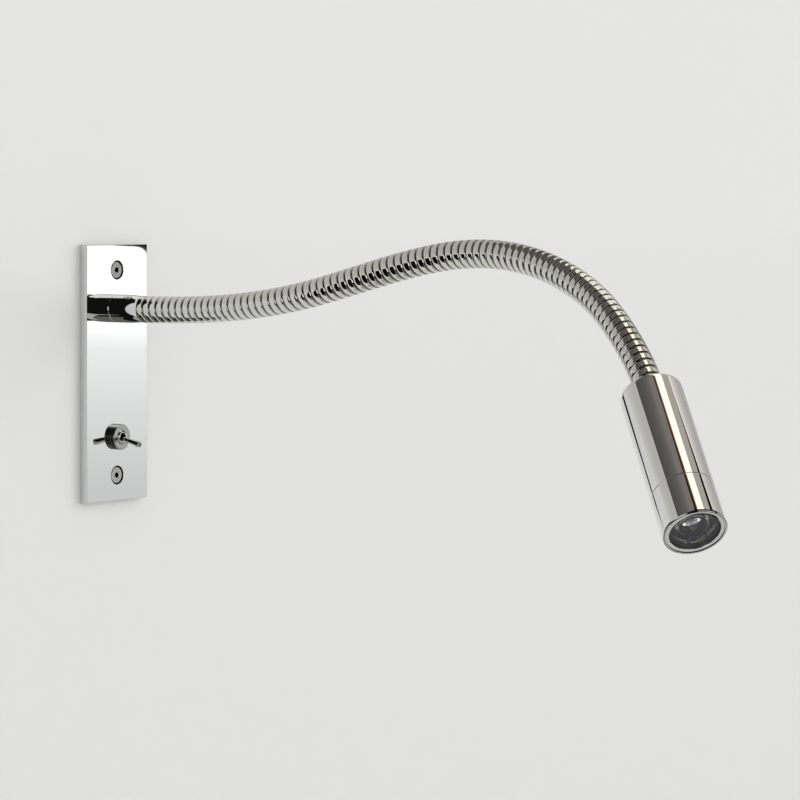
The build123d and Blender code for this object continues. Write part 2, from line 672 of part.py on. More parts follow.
holder_radius = BEZEL_BORE / 2 - FIT
holder_bore = holder_radius - HOLDER_WALL
with BuildPart() as lens_holder:
    with BuildSketch(head_plane.offset(board_face)):
        Circle(holder_radius)
        Circle(holder_bore, mode=Mode.SUBTRACT)
    extrude(amount=HOLDER_LENGTH)
    with BuildSketch(head_plane.offset(board_face + HOLDER_LENGTH)):
        Circle(holder_bore + LENS_SEAT)
    extrude(amount=-LENS_FLANGE, mode=Mode.SUBTRACT)
finish(lens_holder, "lens_holder")

lens_seat = board_face + HOLDER_LENGTH - LENS_FLANGE
lens_rear = board_face + LENS_START
with BuildPart() as tir_lens:
    with BuildSketch(head_plane.offset(lens_rear)):
        Circle(LENS_NECK_DIAMETER / 2)
    with BuildSketch(head_plane.offset(lens_seat)):
        Circle(holder_bore - FIT)
    loft()
    with BuildSketch(head_plane.offset(lens_seat)):
        Circle(holder_bore + LENS_SEAT - FIT)
    extrude(amount=LENS_FLANGE)
    with BuildSketch(head_plane.offset(lens_rear)):
        Circle(LENS_CAVITY_DIAMETER / 2)
    extrude(amount=LENS_CAVITY_DEPTH, mode=Mode.SUBTRACT)
finish(tir_lens, "tir_lens")

glass_front = HEAD_LENGTH - GLASS_RECESS
glass_rear = glass_front - GLASS_THICKNESS
with BuildPart() as front_glass:
    with BuildSketch(head_plane.offset(glass_rear)):
        Circle(GLASS_DIAMETER / 2 - FIT / 2)
    extrude(amount=GLASS_THICKNESS)
finish(front_glass, "front_glass")

ledge = glass_rear - GASKET_THICKNESS
with BuildPart() as glass_gasket:
    with BuildSketch(head_plane.offset(ledge)):
        Circle(GLASS_DIAMETER / 2 - FIT / 2)
        Circle(BEZEL_BORE / 2, mode=Mode.SUBTRACT)
    extrude(amount=GASKET_THICKNESS)
finish(glass_gasket, "glass_gasket")

with BuildPart() as front_bezel:
    with BuildSketch(head_plane.offset(seam)):
        Circle(HEAD_DIAMETER / 2)
    extrude(amount=BEZEL_LENGTH)
    fillet(front_bezel.faces().sort_by(Axis(head_plane.origin, head_plane.z_dir))[-1].edges(), RIM_FILLET)
    with BuildSketch(head_plane.offset(seam)):
        Circle(front_bore - FIT)
    extrude(amount=-SPIGOT_LENGTH)
    with BuildSketch(head_plane.offset(sink_end)):
        Circle(BEZEL_BORE / 2)
    extrude(amount=HEAD_LENGTH - sink_end, mode=Mode.SUBTRACT)
    with BuildSketch(head_plane.offset(ledge)):
        Circle(GLASS_DIAMETER / 2)
    extrude(amount=HEAD_LENGTH - ledge, mode=Mode.SUBTRACT)
    with BuildSketch(head_plane.offset(HEAD_LENGTH - RIM_STEP_DEPTH)):
        Circle(GLASS_DIAMETER / 2 + RIM_STEP_WIDTH)
    extrude(amount=RIM_STEP_DEPTH, mode=Mode.SUBTRACT)
finish(front_bezel, "front_bezel")

# -------------------------------------------------------------------- lead

# It leaves the driver's top, turns into the ferrule and follows the arm to the board.
head_axis = head_plane.z_dir
lead_points = [
    (0, LEAD_PLACE, DRIVER_HEIGHT / 2),
    (0, LEAD_PLACE, ARM_HEIGHT),
    *ARM_POINTS[1:-1],
    tuple(head_plane.origin + head_axis * sink_end),
]
with BuildLine() as lead_line:
    FilletPolyline(*lead_points, radius=[LEAD_CORNER, *arm_radii])
with BuildPart() as arm_lead:
    with BuildSketch(Plane(origin=lead_points[0], z_dir=(0, 0, 1))):
        Circle(LEAD_DIAMETER / 2)
    sweep(path=lead_line.wire())
print("lead volume / (section x length):",
      round(arm_lead.part.volume / (lead_line.wire().length * 3.14159265 * LEAD_DIAMETER ** 2 / 4), 5))
finish(arm_lead, "arm_lead")
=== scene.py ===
"""Bedside wall reading lamp: chrome wall plate with a toggle switch, a strip-wound
flexible arm and a small spot head, dressed over the CAD frame for Blender 4.5.

All lengths are metres. The origin is on the wall, behind the middle of the plate:
+Z is up, +X is to the right as seen from the room and +Y goes into the wall.
"""

from math import radians, sin, cos, pi

import bpy
from bpy.props import FloatProperty, FloatVectorProperty, IntProperty, PointerProperty, StringProperty
from mathutils import Matrix, Vector


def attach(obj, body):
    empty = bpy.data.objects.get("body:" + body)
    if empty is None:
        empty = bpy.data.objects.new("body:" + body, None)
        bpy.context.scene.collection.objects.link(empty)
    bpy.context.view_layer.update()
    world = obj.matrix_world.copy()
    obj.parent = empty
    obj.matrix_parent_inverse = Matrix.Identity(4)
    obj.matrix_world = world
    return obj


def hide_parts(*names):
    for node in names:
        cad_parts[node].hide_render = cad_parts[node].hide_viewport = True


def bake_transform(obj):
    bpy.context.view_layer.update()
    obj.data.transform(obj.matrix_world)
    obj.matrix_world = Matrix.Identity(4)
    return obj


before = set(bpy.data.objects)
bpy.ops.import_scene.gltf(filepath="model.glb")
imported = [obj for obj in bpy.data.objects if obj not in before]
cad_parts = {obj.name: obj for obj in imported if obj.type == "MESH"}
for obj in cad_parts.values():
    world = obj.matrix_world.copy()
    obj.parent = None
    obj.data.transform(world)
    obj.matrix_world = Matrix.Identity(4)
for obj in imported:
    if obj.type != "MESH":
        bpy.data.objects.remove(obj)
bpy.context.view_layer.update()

bl_info = {
    "name": "Bedside wall reading lamp",
    "version": (1, 0, 0),
    "blender": (4, 5, 0),
    "location": "3D View > Sidebar > Reading lamp",
    "description": "Models a chrome wall reading lamp with a flexible arm and a spot head",
    "category": "Add Mesh",
}

MM = 0.001
SAME_POINT = 1e-6           # points nearer than this are one
RIGHT, INTO, UP = Vector((1, 0, 0)), Vector((0, 1, 0)), Vector((0, 0, 1))

# Corners of the arm's centre line, from the ferrule to the head's cap.
ARM_POINTS = [
    (0.0, -0.020, 0.030), (0.0, -0.0349, 0.030), (-0.0009, -0.0626, 0.0310), (-0.0023, -0.0902, 0.0338),
    (-0.0024, -0.1163, 0.0385), (-0.0023, -0.1417, 0.0453), (-0.0026, -0.1736, 0.0539),
    (-0.0036, -0.2002, 0.0585), (-0.0071, -0.2267, 0.0586), (-0.0137, -0.2534, 0.0536),
    (-0.0230, -0.2789, 0.0438), (-0.0336, -0.2990, 0.0313), (-0.0473, -0.3201, 0.0138),
    (-0.0531, -0.3271, 0.0052),
]
HEAD_AXIS = Vector((-0.4635, -0.5594, -0.6872)).normalized()
HEAD_CAP = Vector(ARM_POINTS[-1])
ARM_BODIES = ["wall_unit", *(f"arm_{number:02d}" for number in range(1, 12)), "spot_head"]

# Corners of the lead's two ends: from the driver's top into the ferrule, and from the cap to the board.
LEAD_AT_DRIVER = [
    (0, 0.024, 0.014), (0, 0.024, 0.020), (0, 0.024, 0.026), (0, 0.022, 0.030), (0, 0.016, 0.030),
    (0, 0.008, 0.030), (0, -0.020, 0.030),
]
LEAD_AT_BOARD = [HEAD_CAP + HEAD_AXIS * depth for depth in (0.0, 0.025, 0.050)]


# ------------------------------------------------------------------ settings


def length(name, description, millimetres):
    """A size in the panel, given in millimetres and kept in metres."""
    return FloatProperty(name=name, description=description, default=millimetres * MM,
                         min=0.0, precision=5, subtype="DISTANCE", unit="LENGTH")


def colour(name, description, hexcode):
    """A colour in the panel, written as an sRGB hex value."""
    return StringProperty(name=name, description=description, default=hexcode, maxlen=7)


class PlateSizes(bpy.types.PropertyGroup):
    """Sizes of the wall plate and its screws"""
    width: length("Plate width", "Width of the wall plate", 44.0)
    height: length("Plate height", "Height of the wall plate", 120.0)
    thickness: length("Plate thickness", "How far the plate stands off the wall", 4.0)
    edge: length("Edge round", "Radius of the polished front edge", 0.4)
    screw_spacing: length("Screw spacing", "Between the two plate screws", 96.0)
    countersink: length("Countersink", "Diameter of the countersinks", 9.0)
    screw_hole: length("Screw hole", "Clearance hole of an M4 screw", 4.5)
    screw_head: length("Screw head", "Diameter of the countersunk heads", 7.7)
    socket: length("Hex socket", "Across the flats of the socket", 2.5)
    box_width: length("Box width", "Width of the recessed box", 37.0)
    box_height: length("Box height", "Height of the recessed box", 84.0)
    play: length("Play", "Round the ferrule's shank and the switch in their holes", 0.1)


class SwitchSizes(bpy.types.PropertyGroup):
    """Sizes of the toggle switch"""
    drop: length("Switch drop", "Switch axis below the middle of the plate", 30.0)
    ring: length("Dress ring", "Diameter of the dress ring", 12.0)
    ring_thickness: length("Ring thickness", "Thickness of the dress ring", 3.0)
    bush: length("Bush", "Diameter of the threaded bush", 6.35)
    bush_proud: length("Bush proud", "How far the bush stands past the ring", 0.6)
    lever_length: length("Lever length", "Lever outside the bush", 10.7)
    lever_tip: length("Lever tip", "Diameter of the lever at its tip", 2.9)
    lever_root: length("Lever root", "Diameter of the lever at its root", 1.9)
    tilt: FloatProperty(name="Lever tilt", description="Lever below level at rest",
                        default=radians(14.0), subtype="ANGLE", unit="ROTATION")


class ArmSizes(bpy.types.PropertyGroup):
    """Sizes of the flexible arm"""
    height: length("Arm height", "Arm axis above the middle of the plate", 30.0)
    ferrule: length("Ferrule", "Diameter of the collar on the plate", 13.0)
    ferrule_length: length("Ferrule length", "Length of the collar", 16.0)
    shank: length("Shank", "Diameter of the ferrule's threaded shank", 10.0)
    hose: length("Hose", "Outside diameter of the strip-wound hose", 12.5)
    groove: length("Groove depth", "Depth of the groove between two turns", 0.5)
    lead: length("Lead", "Diameter of the lead inside", 3.0)
    turns: IntProperty(name="Turns", description="Windings between two bends", default=7, min=1)


class HeadSizes(bpy.types.PropertyGroup):
    """Sizes of the spot head, along its axis from the cap"""
    diameter: length("Head diameter", "Outside of the spot head", 26.0)
    total: length("Head length", "From the cap to the rim", 75.0)
    bezel: length("Bezel length", "Length of the screwed front ring", 20.0)
    cap_round: length("Cap round", "Radius round the closed end", 3.0)
    rim_round: length("Rim round", "Radius round the front rim", 0.9)
    glass: length("Glass", "Diameter of the front glass", 22.2)


class FinishColours(bpy.types.PropertyGroup):
    """Colours of the finishes"""
    chrome: colour("Chrome", "Polished chrome plate", "#E4E5E5")
    strip: colour("Strip", "Chrome-plated strip of the hose", "#DADAD6")
    steel: colour("Steel", "Bright steel", "#B9B9B6")
    screw: colour("Screws", "Stainless steel screws", "#CFCFCC")
    zinc: colour("Zinc", "Zinc-plated steel", "#B4B8BC")
    brass: colour("Brass", "Turned brass", "#C9A45A")
    rubber: colour("Rubber", "Black rubber", "#1B1B1C")
    black: colour("Black plastic", "Black moulded plastic", "#202123")
    white: colour("White plastic", "White moulded plastic", "#E6E5DF")
    aluminium: colour("Aluminium", "Machined aluminium", "#C6C8CA")
    board: colour("Board", "White solder mask", "#EDEEEA")
    phosphor: colour("Phosphor", "Silicone over the light-emitting chip", "#E3C64A")
    wall: colour("Wall", "Painted wall", "#E4E4E3")
    floor: colour("Floor", "Pale floor", "#DEDDDA")


class CameraPlace(bpy.types.PropertyGroup):
    """Where the photograph was taken from"""
    azimuth: FloatProperty(name="Azimuth", description="Camera left of the room's middle",
                           default=radians(54.657), subtype="ANGLE", unit="ROTATION")
    elevation: FloatProperty(name="Elevation", description="Camera above the target",
                             default=radians(3.439), subtype="ANGLE", unit="ROTATION")
    roll: FloatProperty(name="Roll", description="Camera roll", default=radians(0.263),
                        subtype="ANGLE", unit="ROTATION")
    distance: length("Distance", "From the camera to the target", 1830.35)
    target: FloatVectorProperty(name="Target", description="Point on the wall in the image's middle",
                                default=(0.234213, 0.0, -0.023795), subtype="XYZ", unit="LENGTH", precision=5)
    lens: FloatProperty(name="Lens", description="Focal length in millimetres", default=157.5, min=1.0)


# ------------------------------------------------------------ modelling steps


def mm(metres):
    """A length in millimetres."""
    return metres / MM


def start():
    """Leave edit mode with nothing selected, so that an operator acts on the new piece alone."""
    if bpy.context.object and bpy.context.object.mode != "OBJECT":
        bpy.ops.object.mode_set(mode="OBJECT")
    bpy.ops.object.select_all(action="DESELECT")


def named(name):
    """Name the active object and its mesh."""
    made = bpy.context.object
    made.name = made.data.name = name
    return made


def pick(piece):
    """Make this piece the only selected one."""
    start()
    piece.select_set(True)
    bpy.context.view_layer.objects.active = piece


def settle(piece, matrix=None):
    """Move a piece by this matrix and put its place into its mesh."""
    pick(piece)
    if matrix is not None:
        piece.matrix_world = matrix @ piece.matrix_world
    bpy.ops.object.transform_apply(location=True, rotation=True, scale=True)


def use(piece, kind, **settings):
    """Add a modifier with its settings and apply it."""
    pick(piece)
    modifier = piece.modifiers.new(kind.title(), kind)
    for name, value in settings.items():
        setattr(modifier, name, value)
    bpy.ops.object.modifier_apply(modifier=modifier.name)


def polish(piece, edge=0.0, angle=32.0):
    """Round the sharp edges, and keep flats flat in the shading."""
    if edge:
        use(piece, "BEVEL", width=edge, segments=2, limit_method="ANGLE", angle_limit=radians(angle),
            use_clamp_overlap=True)
    pick(piece)
    bpy.ops.object.shade_smooth_by_angle(angle=radians(angle))
    use(piece, "WEIGHTED_NORMAL", keep_sharp=True)


def arc(middle, radius, first, last, steps):
    """Points of a round in a profile, by angle from the radius direction towards the height."""
    angles = [radians(first + (last - first) * step / steps) for step in range(steps + 1)]
    return [(middle[0] + radius * cos(angle), middle[1] + radius * sin(angle)) for angle in angles]


def draw(name, profile):
    """Draw a profile of radius and height by extruding one point, and leave it in edit mode."""
    start()
    bpy.ops.mesh.primitive_plane_add(size=MM)
    piece = named(name)
    bpy.ops.object.mode_set(mode="EDIT")
    bpy.ops.mesh.select_mode(type="VERT")
    bpy.ops.mesh.select_all(action="SELECT")
    bpy.ops.mesh.merge(type="CENTER")
    bpy.ops.transform.translate(value=(profile[0][0], 0, profile[0][1]))
    for before, after in zip(profile, profile[1:]):
        bpy.ops.mesh.extrude_region_move(
            TRANSFORM_OT_translate={"value": (after[0] - before[0], 0, after[1] - before[1])})
    return piece


def close_up(piece):
    """Merge the points that meet, and turn the faces outwards."""
    pick(piece)
    bpy.ops.object.mode_set(mode="EDIT")
    bpy.ops.mesh.select_all(action="SELECT")
    bpy.ops.mesh.remove_doubles(threshold=SAME_POINT)
    bpy.ops.mesh.select_all(action="SELECT")
    bpy.ops.mesh.normals_make_consistent(inside=False)
    bpy.ops.object.mode_set(mode="OBJECT")


def turn(name, profile, steps):
    """Turn a profile, in millimetres, round the Z axis, as on a lathe."""
    piece = draw(name, [(radius * MM, height * MM) for radius, height in profile])
    bpy.ops.mesh.select_all(action="SELECT")
    bpy.ops.mesh.spin(steps=steps, angle=2 * pi, center=(0, 0, 0), axis=(0, 0, 1))
    close_up(piece)
    return piece


def drill(name, radius, low, high, steps):
    """A round cutter between two heights, in millimetres."""
    return turn(name, [(0, low), (radius, low), (radius, high), (0, high)], steps)


def block(name, sides, middle=(0, 0, 0)):
    """A plain block to cut with or to work on, in metres."""
    start()
    bpy.ops.mesh.primitive_cube_add(size=1.0)
    piece = named(name)
    piece.dimensions = sides
    settle(piece, Matrix.Translation(middle))
    return piece


def smooth_path(name, corners):
    """A smooth curve led by these corners, from the first to the last."""
    start()
    bpy.ops.curve.primitive_nurbs_path_add()
    path = named(name)
    for spare in range(len(path.data.splines[0].points) - len(corners)):
        bpy.ops.object.mode_set(mode="EDIT")
        bpy.ops.curve.select_all(action="DESELECT")
        path.data.splines[0].points[-1].select = True
        bpy.ops.curve.delete(type="VERT")
        bpy.ops.object.mode_set(mode="OBJECT")
    spline = path.data.splines[0]
    spline.points.add(len(corners) - len(spline.points))
    for point, corner in zip(spline.points, corners):
        point.co = (*corner, 1.0)
    spline.order_u = 3
    spline.use_endpoint_u = True
    return path


def mark(piece, hidden):
    """Mark the points that lie in a recess and get painted shade, or how far a whole piece is dull like one.
    """
    painted_shade_and_dull_mask = piece.data.attributes.new("painted_shade_and_dull_mask", "FLOAT", "POINT")
    for point, value in zip(piece.data.vertices, painted_shade_and_dull_mask.data):
        value.value = float(hidden(point.co))


def cut(piece, cutter):
    """Cut one piece out of another and remove the cutter."""
    use(piece, "BOOLEAN", object=cutter, operation="DIFFERENCE", solver="EXACT")
    bpy.data.objects.remove(cutter)


def off_wall(height):
    """Stands a turned piece on the wall at this height, its axis towards the room."""
    return Matrix.Translation((0, 0, height)) @ Matrix.Rotation(pi / 2, 4, "X")


def on_head():
    """Puts a turned piece on the head's axis, its heights measured from the cap to the rim."""
    return Matrix.Translation(HEAD_CAP) @ HEAD_AXIS.to_track_quat("Z", "Y").to_matrix().to_4x4()


def give(piece, made, slot, body, *nodes):
    """Finish a piece, let it ride on its body and let it stand for its CAD nodes."""
    piece.data.materials.clear()
    piece.data.materials.append(made[slot])
    if body:
        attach(piece, body)
    if nodes:
        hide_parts(*nodes)


# ------------------------------------------------------------------ materials


def linear(hexcode):
    """An sRGB hex value as linear colour."""
    values = [int(hexcode[place:place + 2], 16) / 255 for place in (1, 3, 5)]
    return (*(value / 12.92 if value <= 0.04045 else ((value + 0.055) / 1.055) ** 2.4
              for value in values), 1.0)


def dimmed(hexcode, share):
    """This share of a colour, as linear colour."""
    return (*(share * value for value in linear(hexcode)[:3]), 1.0)


def add(tree, kind, inputs=None, **settings):
    """Add a node with its settings, its socket values and its links."""
    made = tree.nodes.new(kind)
    for name, value in settings.items():
        setattr(made, name, value)
    for socket, value in (inputs or {}).items():
        if isinstance(value, bpy.types.NodeSocket):
            tree.links.new(value, made.inputs[socket])
        else:
            made.inputs[socket].default_value = value
    return made


def empty_material(name):
    """A material by this name with an empty tree, and its tree."""
    made = bpy.data.materials.get(name) or bpy.data.materials.new(name)
    made.use_nodes = True
    made.node_tree.nodes.clear()
    return made, made.node_tree


def add_painted_shade_and_dullness(tree, tone, gloss):
    """Painted shade where the mesh is marked as a recess: near black there, and duller, as no wheel polishes
    it. A piece marked as a whole is darker and duller by that share.
    """
    painted_shade_and_dull_mask = add(tree, "ShaderNodeAttribute", attribute_name="painted_shade_and_dull_mask").outputs["Fac"]
    # Painted shade: this near-black colour stands for the shade in grooves, sockets and gaps.
    darker = add(tree, "ShaderNodeMix", {0: painted_shade_and_dull_mask, 6: tone, 7: linear("#121211")}, data_type="RGBA")
    duller = add(tree, "ShaderNodeMix", {0: painted_shade_and_dull_mask, 2: gloss, 3: 0.6})
    return darker.outputs[2], duller.outputs[0]


def polished(name, hexcode, smooth, haze, wave_size, wave_height):
    """Bright plated metal: a hazy film a few millimetres wide and a slow polishing wave."""
    made, tree = empty_material(name)
    place = add(tree, "ShaderNodeTexCoord").outputs["Object"]
    film = add(tree, "ShaderNodeTexNoise", {"Vector": place, "Scale": 1 / (6 * MM), "Detail": 4.0})
    rough = add(tree, "ShaderNodeMapRange", {"Value": film.outputs["Fac"], "From Min": 0.35, "From Max": 0.7,
                                             "To Min": smooth, "To Max": haze})
    wave = add(tree, "ShaderNodeTexNoise", {"Vector": place, "Scale": 1 / wave_size, "Detail": 1.0})
    bump = add(tree, "ShaderNodeBump", {"Height": wave.outputs["Fac"], "Distance": wave_height,
                                        "Strength": 1.0})
    # Painted shade: marked recesses turn near black.
    tone, gloss = add_painted_shade_and_dullness(tree, linear(hexcode), rough.outputs[0])
    surface = add(tree, "ShaderNodeBsdfPrincipled", {
        "Base Color": tone, "Metallic": 1.0, "Roughness": gloss, "Normal": bump.outputs[0]})
    add(tree, "ShaderNodeOutputMaterial", {"Surface": surface.outputs[0]})
    return made


def moulded(name, hexcode, roughness, grain, depth, ior=1.5):
    """Moulded plastic or rubber: a spark-eroded grain and a little colour drift."""
    made, tree = empty_material(name)
    place = add(tree, "ShaderNodeTexCoord").outputs["Object"]
    drift = add(tree, "ShaderNodeTexNoise", {"Vector": place, "Scale": 1 / (9 * MM), "Detail": 3.0})
    ramp = add(tree, "ShaderNodeValToRGB", {"Fac": drift.outputs["Fac"]})
    ramp.color_ramp.elements[0].color = dimmed(hexcode, 0.86)
    ramp.color_ramp.elements[1].color = linear(hexcode)
    # The grain is drawn some times coarser than a real mould's, so that it shows.
    pores = add(tree, "ShaderNodeTexNoise", {"Vector": place, "Scale": 1 / grain, "Detail": 2.0})
    bump = add(tree, "ShaderNodeBump", {"Height": pores.outputs["Fac"], "Distance": depth, "Strength": 1.0})
    surface = add(tree, "ShaderNodeBsdfPrincipled", {
        "Base Color": ramp.outputs["Color"], "Roughness": roughness, "IOR": ior, "Normal": bump.outputs[0]})
    add(tree, "ShaderNodeOutputMaterial", {"Surface": surface.outputs[0]})
    return made


def plated(name, hexcode, roughness, mottle, mottle_size):
    """Plated or turned metal that isn't polished: mottled colour and gloss."""
    made, tree = empty_material(name)
    place = add(tree, "ShaderNodeTexCoord").outputs["Object"]
    cells = add(tree, "ShaderNodeTexNoise", {"Vector": place, "Scale": 1 / mottle_size, "Detail": 5.0})
    ramp = add(tree, "ShaderNodeValToRGB", {"Fac": cells.outputs["Fac"]})
    ramp.color_ramp.elements[0].position, ramp.color_ramp.elements[1].position = 0.35, 0.65
    ramp.color_ramp.elements[0].color = dimmed(hexcode, 1 - mottle)
    ramp.color_ramp.elements[1].color = linear(hexcode)
    rough = add(tree, "ShaderNodeMapRange", {"Value": cells.outputs["Fac"], "From Min": 0.3, "From Max": 0.7,
                                             "To Min": roughness * 0.8, "To Max": roughness * 1.2})
    bump = add(tree, "ShaderNodeBump", {"Height": cells.outputs["Fac"], "Distance": 0.01 * MM,
                                        "Strength": 1.0})
    # Painted shade: marked recesses turn near black.
    tone, gloss = add_painted_shade_and_dullness(tree, ramp.outputs["Color"], rough.outputs[0])
    surface = add(tree, "ShaderNodeBsdfPrincipled", {
        "Base Color": tone, "Metallic": 1.0, "Roughness": gloss, "Normal": bump.outputs[0]})
    add(tree, "ShaderNodeOutputMaterial", {"Surface": surface.outputs[0]})
    return made


def clear_optic(name, roughness, ior):
    """Clear glass or acrylic with faint wipe marks and a violet anti-reflection coat."""
    made, tree = empty_material(name)
    place = add(tree, "ShaderNodeTexCoord").outputs["Object"]
    wipe = add(tree, "ShaderNodeTexNoise", {"Vector": place, "Scale": 1 / (4 * MM), "Detail": 3.0})
    rough = add(tree, "ShaderNodeMapRange", {"Value": wipe.outputs["Fac"], "From Min": 0.4, "From Max": 0.75,
                                             "To Min": 0.0, "To Max": roughness})
    surface = add(tree, "ShaderNodeBsdfPrincipled", {
        "Base Color": linear("#FFFFFF"), "Roughness": rough.outputs[0], "IOR": ior,
        "Specular Tint": linear("#74748A"), "Transmission Weight": 1.0})
    add(tree, "ShaderNodeOutputMaterial", {"Surface": surface.outputs[0]})
    return made


def finishes(colours):
    """Every finish by the record's slot name."""
    return {
        # Chrome plate over polished brass: a mirror, with a haze too faint to blur it.
        "chrome": polished("polished_chrome_plate", colours.chrome, 0.0, 0.02, 16 * MM, 0.0004 * MM),
        # The same chrome on rolled strip: a little softer where the strip was drawn.
        "hose_chrome": polished("chrome_plated_strip", colours.strip, 0.02, 0.06, 5 * MM, 0.001 * MM),
        # Turned mild steel: bright, with the cloudy marks of handling.
        "spine_steel": plated("turned_spine_steel", colours.steel, 0.32, 0.15, 1.5 * MM),
        # Stainless socket screws: satin, with a tumbled grain.
        "screw_steel": plated("tumbled_stainless_steel", colours.screw, 0.22, 0.05, 0.8 * MM),
        # Zinc plate on pressed sheet: bluish and cloudy.
        "zinc_steel": plated("zinc_plated_sheet", colours.zinc, 0.38, 0.22, 5 * MM),
        # Turned brass: warm yellow, with a soft shine.
        "nut_brass": plated("turned_brass_nut", colours.brass, 0.28, 0.18, 1.2 * MM),
        # Pressed brass: the same yellow, a little duller and more mottled.
        "terminal_brass": plated("nickel_brass_terminal", colours.brass, 0.3, 0.2, 1.0 * MM),
        # Moulded rubber: dull black that no light sharpens.
        "black_rubber": moulded("black_rubber", colours.rubber, 0.62, 0.35 * MM, 0.02 * MM),
        # Pressed phenolic resin: black, with a low sheen.
        "switch_plastic": moulded("phenolic_switch_case", colours.black, 0.42, 0.3 * MM, 0.012 * MM),
        # Moulded polycarbonate case: white satin.
        "driver_plastic": moulded("white_driver_case", colours.white, 0.45, 0.4 * MM, 0.015 * MM),
        # Moulded polyamide: white and slightly waxy.
        "terminal_plastic": moulded("polyamide_terminal_block", colours.white, 0.5, 0.4 * MM, 0.015 * MM),
        # Extruded PVC sheath: smooth black with a soft line of light along it.
        "lead_pvc": moulded("pvc_lead_sheath", colours.black, 0.4, 0.5 * MM, 0.01 * MM),
        # Machined aluminium: pale and silky.
        "sink_aluminium": plated("machined_aluminium", colours.aluminium, 0.26, 0.08, 0.7 * MM),
        # Printed solder mask: clean white with a gloss.
        "board_white": moulded("white_solder_mask", colours.board, 0.3, 0.6 * MM, 0.004 * MM),
        # Cast silicone filled with phosphor: yellow and soft.
        "emitter_phosphor": moulded("phosphor_silicone", colours.phosphor, 0.25, 0.3 * MM, 0.004 * MM,
                                    1.41),
        # Moulded acrylic: water-clear, bending what lies behind it.
        "optic_acrylic": clear_optic("moulded_acrylic_lens", 0.04, 1.49),
        # Moulded black polycarbonate: an even satin.
        "holder_plastic": moulded("black_polycarbonate_holder", colours.black, 0.35, 0.3 * MM, 0.01 * MM,
                                  1.58),
        # Ground and polished glass: clear, with faint wipe marks.
        "window_glass": clear_optic("clear_front_glass", 0.03, 1.52),
    }


# ------------------------------------------------------------------ operators


